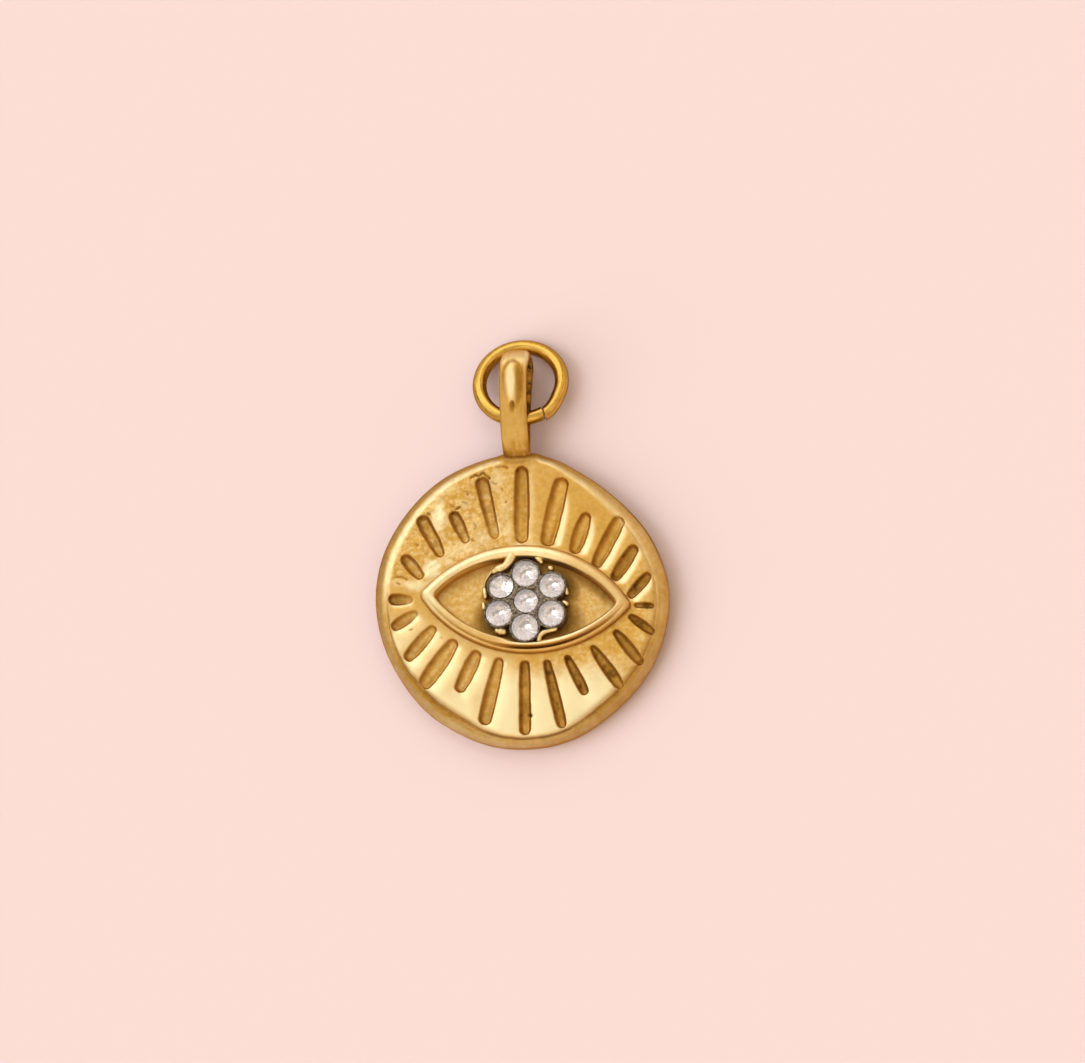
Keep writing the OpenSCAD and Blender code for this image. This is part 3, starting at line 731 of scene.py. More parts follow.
def ridge_shade_and_sheen(x, y, share, weights, filed):
    """How dark and how polished the frame is painted. Painted shade darkens the lower lid's crease, the side
    of its thin line, the inner edge and the outer foot, and the inner edge is darker still where it is filed
    down. Painted highlights make the upper lid bright, less so on the right, the lower lid shine along one
    band on the left and inside its crease on the right, and the left corner bright."""
    # Painted shade in the crease, beside the thin line, on the inner edge and at the outer foot.
    crease = weights[2][:, None] * np.exp(-((share - 0.30) / 0.06) ** 2)
    line = 0.5 * weights[1][:, None] * np.exp(-((share - 0.22) / 0.06) ** 2)
    inner = smoothstep(0.93, 1.01, share) * (0.35 + 0.20 * smoothstep(-1.5, 0.8, x))
    outer = 0.6 * smoothstep(-0.04, -0.16, share)
    hollow = np.clip(np.max([crease, line, inner, outer, 0.95 * filed], axis=0), 0, 1)
    # Painted highlights on each lid, and on the left corner.
    bright = (1.0 - 0.6 * smoothstep(1.0, 3.4, x),
              0.18 + 0.75 * np.exp(-((share - 0.88) / 0.07) ** 2),
              0.18 + 0.95 * smoothstep(0.36, 0.46, share))
    polish = sum(w[:, None] * b for w, b in zip(weights, bright)) * (1 - hollow)
    polish = polish * (1 + 0.25 * grain(x, y, 0.5, 83))
    corner = 0.9 * np.exp(-((x + 5.5) / 0.45) ** 2)
    return hollow, np.clip(polish + corner * (1 - hollow), 0, 1)


def ridge_shell(path_count, section_count):
    """The almond frame: a section of share and height, carried round an almond of two arcs and
    blended from one lid to the next. The outline at each share of the ridge's width is an
    almond drawn in by that much, whose points are averaged with their neighbours so that the
    corners are a little round."""
    sections = [spline(table, section_count) for table in (UPPER_LID, LOWER_LEFT_LID, LOWER_RIGHT_LID)]
    t = np.linspace(0, 2, path_count, endpoint=False)
    side = np.where(t < 1, 1.0, -1.0)
    s = np.mod(t, 1.0)
    low = np.where(side > 0, 0.0, np.sin(np.pi * s) ** 0.6)
    right = smoothstep(-2.6, 0.6, side * np.cos(np.pi * s) * EYE_L)
    weights = np.stack([1 - low, low * (1 - right), low * right])
    share = sum(w[:, None] * section[None, :, 0] for w, section in zip(weights, sections))
    z = sum(w[:, None] * section[None, :, 1] for w, section in zip(weights, sections))
    width = RIDGE_W + UPPER_LID_SWELL * (side > 0) * smoothstep(0.0, 0.25, s) * smoothstep(1.0, 0.5, s)
    half_length = EYE_L - share * RIDGE_W * CORNER_SHARE
    half_height = np.where(side > 0, EYE_H, LOWER_EYE_H)[:, None] - share * width[:, None]
    r = (half_length ** 2 + half_height ** 2) / (2 * half_height)
    half = np.arcsin(half_length / r)
    a = np.pi / 2 - half + 2 * half * s[:, None]
    u = side[:, None] * r * np.cos(a)
    v = side[:, None] * (r * np.sin(a) - (r - half_height))
    near = range(-4, 5)
    u, v = (sum(np.roll(g, k, axis=0) for k in near) / len(near) for g in (u, v))
    c, sn = math.cos(EYE_TURN), math.sin(EYE_TURN)
    x = EYE_X + u * c - v * sn
    y = EYE_Y + u * sn + v * c
    z = z + layer(x, y, *RIDGE_GRAIN) * smoothstep(1.6, 1.9, z)
    # Beside the lowest stone the lid's inner edge is filed down, and dark.
    filed = (side < 0)[:, None] * np.exp(-((x - 0.3) / 0.8) ** 2) * smoothstep(0.60, 0.80, share)
    z = z - 0.25 * filed * smoothstep(1.5, 1.9, z)
    hollow, polish = ridge_shade_and_sheen(x, y, share, weights, filed)
    points = np.stack([x, y, z], axis=-1).reshape(-1, 3)
    return Shell(points, quads(path_count, section_count, wrap_columns=True, wrap_rows=True),
                 hollow=hollow.ravel(), polish=polish.ravel(), grit=0.08)


def bail_outer(count):
    """Side outline of the bail, y and z: round the loop, down the front to the neck, round the
    root inside the disc, and back along the lower edge. It starts at the loop's far end."""
    top = math.atan2(LOOP_Z + LOOP_R - NECK_HIGH, LOOP_Y - NECK_Y)
    low = math.atan2(NECK_LOW - LOOP_Z + LOOP_R, LOOP_Y - NECK_Y)
    front_arc = np.linspace(0, math.pi / 2 + top, 24)
    back_arc = np.linspace(-math.pi / 2 - low, 0, 24)
    front = np.stack([LOOP_Y + LOOP_R * np.cos(front_arc), LOOP_Z + LOOP_R * np.sin(front_arc)], axis=-1)
    back = np.stack([LOOP_Y + LOOP_R * np.cos(back_arc), LOOP_Z + LOOP_R * np.sin(back_arc)], axis=-1)
    middle = np.array([(NECK_Y + 1.0, NECK_HIGH + 0.02), (NECK_Y + 0.7, NECK_HIGH - 0.05),
                       (NECK_Y + 0.45, NECK_HIGH - 0.19), (NECK_Y + 0.25, 1.60), (NECK_Y + 0.1, 1.40),
                       (ROOT_Y + 0.1, 1.3), (ROOT_Y, 1.15), (ROOT_Y, NECK_LOW), (NECK_Y, NECK_LOW)])
    return resample(np.concatenate([front, middle, back[:-1]]), count)


def bail_inner(count):
    """Side outline of the bail's hole: the hull of a round at the loop and a smaller one below."""
    inner = LOOP_R - BAND_T
    run = math.hypot(LOOP_Y - HOLE_Y, LOOP_Z - HOLE_Z)
    lean = math.atan2(LOOP_Z - HOLE_Z, LOOP_Y - HOLE_Y)
    spread = math.asin((inner - HOLE_R) / run)
    far = np.linspace(0, lean + math.pi / 2 + spread, 20)
    near = np.linspace(lean + math.pi / 2 + spread, lean + 1.5 * math.pi - spread, 24)
    last = np.linspace(lean - math.pi / 2 - spread, 0, 20)
    parts = [np.stack([LOOP_Y + inner * np.cos(far), LOOP_Z + inner * np.sin(far)], axis=-1),
             np.stack([HOLE_Y + HOLE_R * np.cos(near), HOLE_Z + HOLE_R * np.sin(near)], axis=-1),
             np.stack([LOOP_Y + inner * np.cos(last), LOOP_Z + inner * np.sin(last)], axis=-1)[:-1]]
    return resample(np.concatenate(parts), count)


def resample(closed, count):
    """Evenly spaced points along a closed outline, from its first point."""
    ring = np.concatenate([closed, closed[:1]])
    run = np.concatenate([[0], np.cumsum(np.hypot(*np.diff(ring, axis=0).T))])
    at = np.linspace(0, run[-1], count, endpoint=False)
    return np.stack([np.interp(at, run, ring[:, 0]), np.interp(at, run, ring[:, 1])], axis=-1)


def bail_relief(x, y):
    """How far up the bail from its raised oval's middle points are, the square of their distance
    from that middle, which is 1 on the oval's outline, and how far down the dent they are."""
    tx, ty, half, up, down, _ = TONGUE
    along = y - ty
    oval = ((x - tx) / half) ** 2 + (along / np.where(along > 0, up, down)) ** 2
    dx, dy, dw, dh, _ = BAIL_DENT
    return along, oval, smoothstep(1.0, 0.25, ((x - dx) / dw) ** 2 + ((y - dy) / dh) ** 2)


def bail_shade_and_sheen(x, y, z, front, inside, relief):
    """How dark, how polished and how gritty the bail is. It is darker at its foot and has fine streaks along
    it; painted shade darkens the dent, an arch over the oval, the oval's right flank and the rough inside of
    the loop. Painted highlights make it shine on the crown of the loop, on the oval's left side and along a
    strip at the right."""
    along, oval, hole = relief
    mottle = grain(x, y, 0.45, 91)
    foot = smoothstep(9.3, 8.4, y + 0.3 * mottle)
    foot_darkening = foot * (0.46 + 0.6 * mottle + 0.5 * grain(x, y, 0.2, 99))
    # Painted shade: the dent, an arch over the oval, the oval's right flank and the loop's inside.
    arch = np.exp(-((oval - 1.08) / 0.24) ** 2) * smoothstep(-0.4, 0.6, along)
    flank = 0.75 * smoothstep(1.15, 0.6, oval) * smoothstep(TONGUE[0] + 0.06, TONGUE[0] + 0.30, x)
    rough = np.clip(0.75 + 0.5 * grain(x + z, y, 0.3, 95), 0, 1)
    streak = 0.16 * lattice_noise(x, y / 6, 0.10, 97)
    hollow = np.maximum(front * np.max([0.9 * hole, 0.6 * arch, flank], axis=0), rough * inside)
    hollow = np.clip(np.maximum(hollow, foot_darkening) + streak, 0, 1)
    # Painted highlights: the loop's crown, the oval's left side and a strip at the right.
    crown = smoothstep(13.2, 13.7, y)
    apart = np.hypot((x - TONGUE[0] + 0.13) / 0.38, along / np.where(along > 0, 1.15, 1.4))
    strip = front * smoothstep(0.28, 0.42, x) * smoothstep(10.5, 11.5, y)
    shine = 0.44 * crown + 1.15 * front * smoothstep(1.15, 0.1, apart) + 0.55 * strip
    polish = np.clip(0.10 + shine - 0.5 * hollow, 0, 1)
    return hollow, polish, np.clip(0.1 + 0.5 * np.maximum(foot, inside), 0, 1)


def bail_shell(path_count, section_count):
    """The bail: a rounded, slightly crowned band between the side outline and the hole's
    outline. Point k of one outline faces point k of the other, and the section between them is
    a superellipse of evenly spaced points whose half width follows the band's width. A raised
    oval and a dent are added to its outer face, and a rough cast skin to the inside of its
    loop."""
    outer, inner = bail_outer(path_count), bail_inner(path_count)
    phi = np.linspace(0, 2 * np.pi, 720, endpoint=False)
    power = 0.45
    aspect = 2 * LOOP_HALF / BAND_T
    section = np.stack([aspect * np.sign(np.cos(phi)) * np.abs(np.cos(phi)) ** power,
                        np.sign(np.sin(phi)) * np.abs(np.sin(phi)) ** power], axis=-1)
    across, through = (resample(section, section_count) / (aspect, 1)).T
    mid = (outer + inner) / 2
    arm = (outer - inner) / 2
    thick = np.hypot(arm[:, 0], arm[:, 1])
    crowned = 1 - 0.03 * across ** 2 * np.where(through > 0, 1.0, 0.0)
    yz = mid[:, None, :] + arm[:, None, :] * (through * crowned)[None, :, None]
    y, z = yz[..., 0], yz[..., 1]
    half = np.interp(y, BAND[:, 0], BAND[:, 1])
    x = BAIL_X + np.interp(y, SWAY[:, 0], SWAY[:, 1]) + half * across[None, :]
    front = smoothstep(0.6, 0.95, through)[None, :] * smoothstep(LOOP_Z - 0.2, LOOP_Z + 0.5, z)
    relief = bail_relief(x, y)
    bulge = np.sqrt(np.clip(1 - relief[1], 0, 1))
    lift = front * (TONGUE[-1] * bulge - BAIL_DENT[-1] * relief[2])
    lift = lift + smoothstep(0.0, -0.7, through)[None, :] * layer(2 * x, y + z, *BAIL_SKIN)
    way = arm / np.maximum(thick, 1e-6)[:, None]
    yz = yz + way[:, None, :] * lift[..., None]
    y, z = yz[..., 0], yz[..., 1]
    inside = smoothstep(0.3, -0.5, through)[None, :] + 0 * x
    hollow, polish, grit = bail_shade_and_sheen(x, y, z, front, inside, relief)
    points = np.stack([x, y, z], axis=-1).reshape(-1, 3)
    faces = quads(path_count, section_count, wrap_columns=True, wrap_rows=True)
    return Shell(points, faces[:, ::-1], hollow=hollow.ravel(), polish=polish.ravel(), grit=grit.ravel())


# Gold claws and leftovers of metal round the setting: chains of x, y, height, radius.
CLAWS = [
    [(-0.50, 2.36, 1.88, 0.33), (-0.56, 2.20, 1.90, 0.31), (-0.68, 2.00, 1.90, 0.27),
     (-0.88, 1.80, 1.87, 0.24), (-1.12, 1.68, 1.88, 0.26), (-1.30, 1.63, 1.87, 0.24),
     (-1.48, 1.53, 1.84, 0.17)],
    [(0.92, 2.3, 1.84, 0.16), (1.10, 2.12, 1.86, 0.17), (1.2, 1.98, 1.84, 0.12)],
    [(1.72, 1.6, 1.90, 0.15), (1.76, 1.57, 1.90, 0.15)],
    [(2.62, 0.36, 1.82, 0.10), (2.67, 0.1, 1.84, 0.12)],
    [(2.5, -0.42, 1.84, 0.12), (2.64, -0.52, 1.84, 0.14)],
    [(1.06, -2.60, 1.80, 0.15), (1.12, -2.36, 1.84, 0.16), (1.32, -2.16, 1.84, 0.15),
     (1.62, -2.06, 1.82, 0.13), (1.98, -1.96, 1.80, 0.16)],
    [(-1.28, -1.92, 1.72, 0.22), (-1.12, -1.96, 1.74, 0.26), (-0.96, -2.0, 1.72, 0.22)],
    [(-2.06, 0.52, 1.74, 0.13), (-2.02, 0.28, 1.78, 0.15), (-2.0, 0.08, 1.74, 0.11)],
    [(-2.12, -0.3, 1.72, 0.11), (-2.08, -0.56, 1.74, 0.13)],
    [(-2.08, 0.70, 1.64, 0.07), (-2.02, 1.0, 1.66, 0.06), (-1.8, 1.36, 1.70, 0.07), (-1.6, 1.6, 1.74, 0.09)],
    [(1.25, -0.32, 2.02, 0.06), (1.36, -0.2, 2.04, 0.06)],
    [(0.72, -1.10, 2.02, 0.07), (0.80, -1.02, 2.04, 0.06)],
    [(-0.46, -1.06, 2.03, 0.05), (-0.38, -1.0, 2.04, 0.05)],
]
# Their undersides are drawn down by this factor, as metal that grows out of the floor, and end
# this far below it. Their tips have this radius.
CLAW_ROOT = 4.0
CLAW_SUNK = 0.12
CLAW_TIP = 0.004


def claw_end(point, way, angles):
    """Points beyond a claw's end of radius r, on a half circle: at angle c they lie r*cos(c)
    away and have the radius r*sin(c)."""
    x, y, z, r = point
    away = r * np.cos(angles)
    columns = (x + way[0] * away, y + way[1] * away, z, np.maximum(r * np.sin(angles), CLAW_TIP))
    return np.stack(np.broadcast_arrays(*columns), axis=-1)


def claw_shell(chain):
    """A claw: a rod through its chain of points, with round ends. Its section is a circle in a
    level and an upright direction, whose lower half is drawn down to the floor."""
    curve = spline(chain, 5 * len(chain))
    way = np.gradient(curve[:, :2], axis=0)
    way /= np.maximum(np.hypot(way[:, 0], way[:, 1]), 1e-9)[:, None]
    angles = np.linspace(0, np.pi / 2, 6)[:-1]
    start, end = claw_end(curve[0], -way[0], angles), claw_end(curve[-1], way[-1], angles[::-1])
    line = np.concatenate([start, curve, end])[:, :, None]
    way = np.pad(way, ((len(start), len(end)), (0, 0)), mode="edge")[:, :, None]
    phi = np.linspace(0, 2 * np.pi, 14, endpoint=False)
    level = line[:, 3] * np.cos(phi)
    x = line[:, 0] - way[:, 1] * level
    y = line[:, 1] + way[:, 0] * level
    up = np.sin(phi) * np.where(np.sin(phi) > 0, 1.0, CLAW_ROOT)
    z = np.maximum(line[:, 2] + line[:, 3] * up, FLOOR_Z - CLAW_SUNK)
    points = np.stack([x, y, z], axis=-1).reshape(-1, 3)
    rows, columns = x.shape
    faces = [tuple(f) for f in quads(rows, columns, wrap_columns=True)[:, ::-1]]
    faces.append(tuple(range(columns)))
    faces.append(tuple(range(rows * columns - 1, (rows - 1) * columns - 1, -1)))
    low = smoothstep(1.85, 1.5, points[:, 2])
    return Shell(points, faces, hollow=0.9 * low, polish=0.85 * (1 - low), grit=0.1)


def make_medallion():
    """The one casting: disc, almond frame, claws and bail."""
    body = [disc_shell(FACE_CELLS), ridge_shell(*RIDGE_POINTS), bail_shell(*BAIL_POINTS)]
    return make_piece("medallion_casting", body + [claw_shell(chain) for chain in CLAWS])


def make_setting():
    """The scalloped dark setting: rings of points at shares of the way from its middle to its
    outline, which is the farthest edge of the seven rounds along each direction. Its top dips
    into a cone under each stone and stands up in a thin grainy wall between them."""
    centre = STONES[0, :2]
    angles = np.linspace(0, 2 * np.pi, 300, endpoint=False)
    way = np.stack([np.cos(angles), np.sin(angles)], axis=-1)
    reach = np.zeros(len(angles))
    for sx, sy, d in STONES:
        offset = np.array([sx, sy]) - centre
        along = way @ offset
        r = d / 2 + SETTING_WALL
        inside = r * r - (offset @ offset - along ** 2)
        reach = np.maximum(reach, np.where(inside > 0, along + np.sqrt(np.maximum(inside, 0)), 0))
    reach = sum(np.roll(reach, k) for k in range(-2, 3)) / 5
    shares = np.concatenate([np.linspace(0.004, 0.985, 84), [1.0]])
    x = centre[0] + way[:, 0][None, :] * reach[None, :] * shares[:, None]
    y = centre[1] + way[:, 1][None, :] * reach[None, :] * shares[:, None]
    gap = np.min([np.hypot(x - s[0], y - s[1]) - s[2] / 2 for s in STONES], axis=0)
    top = GIRDLE_Z + WALL_TOP + layer(x, y, *SETTING_GRAIN)
    seat = np.maximum(GIRDLE_Z + SEAT_EDGE + SEAT_SLOPE * gap, FLOOR_Z + SEAT_CLEAR)
    z = np.where(gap > 0.02, top, seat)
    z[-1] = GIRDLE_Z + EDGE_TOP
    side = [GIRDLE_Z + SIDE_LOW, FLOOR_Z + SETTING_CLEAR]
    rings = [np.stack([x, y, z], axis=-1)]
    for level in side:
        rings.append(np.stack([x[-1:], y[-1:], np.full_like(x[-1:], level)], axis=-1))
    points = np.concatenate(rings).reshape(-1, 3)
    rows, columns = len(shares) + len(side), len(angles)
    faces = [tuple(f) for f in quads(rows, columns, wrap_columns=True)[:, ::-1]]
    top_id, low_id = len(points), len(points) + 1
    middles = [(*centre, z[0].mean()), (*centre, side[-1])]
    points = np.concatenate([points, middles])
    first, last = np.arange(columns), (rows - 1) * columns + np.arange(columns)
    faces += [(int(a), int(b), top_id) for a, b in zip(first, np.roll(first, -1))]
    faces += [(int(b), int(a), low_id) for a, b in zip(last, np.roll(last, -1))]
    return make_piece("oxidised_stone_setting", [Shell(points, faces)])


def make_ring():
    """The jump ring: a circle carried round an arc, from one cut end to the other. The ends are
    cut askew with a small bevel, the right one sprung outwards and the left one flattened. Each
    end's flat face is closed through rings that shrink to its middle."""
    count, columns = RING_POINTS
    shares, steps = END_BEVEL.T
    scale = np.concatenate([shares, np.ones(count), shares[::-1]])
    phi = np.linspace(0, 2 * np.pi, columns, endpoint=False)
    whole = 2 * np.pi
    end = CUT_HALF + steps / RING_R
    start = CUT_HALF + END_LENGTH / RING_R
    turn = np.concatenate([end, np.linspace(start, whole - start, count), whole - end[::-1]])
    right = smoothstep(0.10, 0.0, turn / whole)
    left = smoothstep(0.90, 1.0, turn / whole)
    radius = RING_R + RIGHT_END_OUT * right + LEFT_END_OUT * left ** 2
    out = WIRE_R * scale[:, None] * np.cos(phi)[None, :]
    out = out * (1 - LEFT_END_FLAT * left[:, None] * (out > 0)) - 0.02 * left[:, None]
    up = WIRE_R * scale[:, None] * np.sin(phi)[None, :]
    # The skew of the cut fades out within a sixth of half a turn.
    skew = CUT_SKEW * np.clip(1 - 6 * np.minimum(turn, whole - turn) / np.pi, 0, 1)
    a = CUT_ANGLE + turn[:, None] + skew[:, None] * out
    x, y = (radius[:, None] + out) * np.cos(a), (radius[:, None] + out) * np.sin(a)
    c, s = math.cos(RING_LEAN), math.sin(RING_LEAN)
    leaned = [RING[0] + x, RING[1] + y * c - up * s, RING[2] + y * s + up * c]
    points = np.stack(leaned, axis=-1).reshape(-1, 3)
    rows = len(turn)
    faces = [tuple(f) for f in quads(rows, columns, wrap_columns=True)[:, ::-1]]
    faces.append(tuple(range(columns)))
    faces.append(tuple(range(rows * columns - 1, (rows - 1) * columns - 1, -1)))
    return make_piece("wire_jump_ring", [Shell(points, faces)])


def add_node(tree, kind, settings=None, inputs=None):
    """Adds a node, sets its own properties, and sets or links its inputs."""
    node = tree.nodes.new(kind)
    for key, value in (settings or {}).items():
        setattr(node, key, value)
    for key, value in (inputs or {}).items():
        if isinstance(value, bpy.types.NodeSocket):
            tree.links.new(value, node.inputs[key])
        else:
            node.inputs[key].default_value = value
    return node


def new_material(name):
    """An empty node material: its tree and its Principled shader."""
    material = bpy.data.materials.new(name)
    material.use_nodes = True
    tree = material.node_tree
    return material, tree, tree.nodes["Principled BSDF"]


# Patterns in the gold: the grain of the casting, worn specks and stains, each with its size in
# mm, its detail and how rough that is.
GOLD_GRAIN = ((0.11, 2.0, 0.5), (0.27, 3.0, 0.6), (0.60, 4.0, 0.65))


def plated_gold():
    """Cast brass with a gold plate, part tumbled bright and part left grainy, antiqued brown in the hollows.
    The bright parts are a pale cream that also serves as painted highlight, the matt ones a deeper yellow,
    and the dull brown is both the oxide in the grooves and painted shade, almost black where it is darkest."""
    material, tree, shader = new_material("gold_plated_cast_brass_antiqued")
    place = add_node(tree, "ShaderNodeTexCoord").outputs["Object"]
    hollow, polish, grit = (
        add_node(tree, "ShaderNodeAttribute", {"attribute_name": name}).outputs["Fac"]
        for name in ("hollow", "polish", "grit"))
    cast, speck, tone = (
        add_node(tree, "ShaderNodeTexNoise", {},
                 {"Vector": place, "Scale": 1 / (size * MM), "Detail": detail, "Roughness": rough})
        for size, detail, rough in GOLD_GRAIN)
    worn = add_node(tree, "ShaderNodeMapRange", {},
                    {"Value": speck.outputs["Fac"], "From Min": 0.42, "From Max": 0.70,
                     "To Min": -0.10, "To Max": 0.42})
    uneven = add_node(tree, "ShaderNodeMath", {"operation": "MULTIPLY"}, {0: worn.outputs[0], 1: grit})
    shine = add_node(tree, "ShaderNodeMath", {"operation": "ADD", "use_clamp": True},
                     {0: uneven.outputs[0], 1: polish})
    matt = add_node(tree, "ShaderNodeMix", {"data_type": "RGBA"},
                    {"Factor": tone.outputs["Fac"], 6: linear("#c28f36"), 7: linear("#dab05c")})
    # The pale cream mixed in by the polish value is partly a painted highlight.
    bright = add_node(tree, "ShaderNodeMix", {"data_type": "RGBA"},
                      {"Factor": shine.outputs[0], 6: matt.outputs[2], 7: linear("#f7e5b4")})
    # The dark brown is oxide in the hollows and also painted shade on walls, creases and edges.
    oxide_and_shade_colour = add_node(tree, "ShaderNodeMix", {"data_type": "RGBA"},
                     {"Factor": tone.outputs["Fac"], 6: linear("#63430c"), 7: linear("#b8873a")})
    darkening = add_node(tree, "ShaderNodeMath", {"operation": "MULTIPLY"}, {0: hollow, 1: 0.9})
    colour = add_node(tree, "ShaderNodeMix", {"data_type": "RGBA"},
                      {"Factor": darkening.outputs[0], 6: bright.outputs[2], 7: oxide_and_shade_colour.outputs[2]})
    # Almost black where the darkening is strongest: the darkest painted shade and the thickest oxide.
    deep = add_node(tree, "ShaderNodeMapRange", {},
                    {"Value": hollow, "From Min": 0.82, "From Max": 1.0, "To Max": 0.75})
    colour = add_node(tree, "ShaderNodeMix", {"data_type": "RGBA"},
                      {"Factor": deep.outputs[0], 6: colour.outputs[2], 7: linear("#35260c")})
    tree.links.new(colour.outputs[2], shader.inputs["Base Color"])
    smooth = add_node(tree, "ShaderNodeMapRange", {},
                      {"Value": shine.outputs[0], "To Min": 0.46, "To Max": 0.34})
    rough = add_node(tree, "ShaderNodeMath", {"operation": "MULTIPLY_ADD"},
                     {0: hollow, 1: 0.18, 2: smooth.outputs[0]})
    tree.links.new(rough.outputs[0], shader.inputs["Roughness"])
    depth = add_node(tree, "ShaderNodeMapRange", {}, {"Value": grit, "To Min": 0.02, "To Max": 0.6})
    bump = add_node(tree, "ShaderNodeBump", {},
                    {"Height": cast.outputs["Fac"], "Strength": depth.outputs[0], "Distance": 0.03 * MM})
    tree.links.new(bump.outputs[0], shader.inputs["Normal"])
    shader.inputs["Metallic"].default_value = 1.0
    shader.inputs["Specular Tint"].default_value = linear("#c8984c")
    return material


def plated_wire():
    """Drawn brass wire with a gold plate, bright, with faint draw lines and handling marks."""
    material, tree, shader = new_material("gold_plated_drawn_wire")
    place = add_node(tree, "ShaderNodeTexCoord").outputs["Object"]
    mark = add_node(tree, "ShaderNodeTexNoise", {},
                    {"Vector": place, "Scale": 1 / (0.35 * MM), "Detail": 4.0})
    colour = add_node(tree, "ShaderNodeMix", {"data_type": "RGBA"},
                      {"Factor": mark.outputs["Fac"], 6: linear("#c08c36"), 7: linear("#e0be66")})
    tree.links.new(colour.outputs[2], shader.inputs["Base Color"])
    rough = add_node(tree, "ShaderNodeMapRange", {},
                     {"Value": mark.outputs["Fac"], "To Min": 0.16, "To Max": 0.32})
    tree.links.new(rough.outputs[0], shader.inputs["Roughness"])
    bump = add_node(tree, "ShaderNodeBump", {},
                    {"Height": mark.outputs["Fac"], "Strength": 0.12, "Distance": 0.02 * MM})
    tree.links.new(bump.outputs[0], shader.inputs["Normal"])
    shader.inputs["Metallic"].default_value = 1.0
    shader.inputs["Specular Tint"].default_value = linear("#94702c")
    return material


def oxidised_metal():
    """Cast metal blackened by oxide: grey-brown, grainy, with small bright worn grains."""
    material, tree, shader = new_material("oxidised_cast_setting_metal")
    place = add_node(tree, "ShaderNodeTexCoord").outputs["Object"]
    speck = add_node(tree, "ShaderNodeTexNoise", {},
                     {"Vector": place, "Scale": 1 / (0.14 * MM), "Detail": 3.0})
    ramp = add_node(tree, "ShaderNodeValToRGB", {}, {"Fac": speck.outputs["Fac"]})
    ramp.color_ramp.elements[0].position = 0.35
    ramp.color_ramp.elements[0].color = linear("#3a2f28")
    ramp.color_ramp.elements[1].position = 0.72
    ramp.color_ramp.elements[1].color = linear("#a89a88")
    tree.links.new(ramp.outputs["Color"], shader.inputs["Base Color"])
    bump = add_node(tree, "ShaderNodeBump", {},
                    {"Height": speck.outputs["Fac"], "Strength": 0.6, "Distance": 0.03 * MM})
    tree.links.new(bump.outputs[0], shader.inputs["Normal"])
    shader.inputs["Metallic"].default_value = 0.8
    shader.inputs["Roughness"].default_value = 0.42
    return material


def cut_crystal():
    """Leaded crystal, cut and polished, with a silver foil behind its pavilion: clear facets over
    a mirror. Below the girdle the surface is the foil, above it the glass."""
    material, tree, shader = new_material("foil_backed_cut_crystal")
    place = add_node(tree, "ShaderNodeTexCoord").outputs["Object"]
    height = add_node(tree, "ShaderNodeSeparateXYZ", {}, {"Vector": place}).outputs["Z"]
    foil = add_node(tree, "ShaderNodeMath", {"operation": "LESS_THAN"},
                    {0: height, 1: (GIRDLE_Z - FOIL_BELOW) * MM})
    clear = add_node(tree, "ShaderNodeMath", {"operation": "SUBTRACT"}, {0: 1.0, 1: foil.outputs[0]})
    tree.links.new(foil.outputs[0], shader.inputs["Metallic"])
    glass = add_node(tree, "ShaderNodeMath", {"operation": "MULTIPLY"}, {0: clear.outputs[0], 1: 0.8})
    tree.links.new(glass.outputs[0], shader.inputs["Transmission Weight"])
    shader.inputs["Base Color"].default_value = linear("#f3f1f4")
    shader.inputs["Roughness"].default_value = 0.10
    shader.inputs["IOR"].default_value = 1.56
    return material


def paint(piece, material):
    """Gives a piece one material."""
    piece.data.materials.clear()
    piece.data.materials.append(material)


# Half side of the floor in metres.
FLOOR_HALF = 1.5


def make_floor():
    """A plain, matt, pale pink surface under the charm."""
    corners = [(FLOOR_HALF * i, FLOOR_HALF * j, 0) for i, j in ((-1, -1), (1, -1), (1, 1), (-1, 1))]
    mesh = bpy.data.meshes.new("floor")
    mesh.from_pydata(corners, [], [(0, 1, 2, 3)])
    floor = bpy.data.objects.new("floor", mesh)
    bpy.context.scene.collection.objects.link(floor)
    material, _, shader = new_material("pale_pink_matt_paper")
    shader.inputs["Base Color"].default_value = linear("#cebdc1")
    shader.inputs["Roughness"].default_value = 0.95
    shader.inputs["Specular IOR Level"].default_value = 0.0
    paint(floor, material)


# The lamp: the way towards it, its strength, and its width as seen from the charm in degrees.
LAMP_WAY = (-0.72, -0.34, 0.60)
LAMP_STRENGTH = 2.58
LAMP_SPREAD = 58


def make_sun(name, toward, strength, spread):
    """A soft lamp far away: it lights the matt surface and casts the charm's shadow on it, but
    isn't mirrored in the metal, which mirrors the room."""
    data = bpy.data.lights.new(name, "SUN")
    data.energy = strength
    data.angle = math.radians(spread)
    sun = bpy.data.objects.new(name, data)
    bpy.context.scene.collection.objects.link(sun)
    sun.rotation_mode = "QUATERNION"
    sun.rotation_quaternion = Vector(toward).normalized().to_track_quat("Z", "Y")
    sun.visible_glossy = False


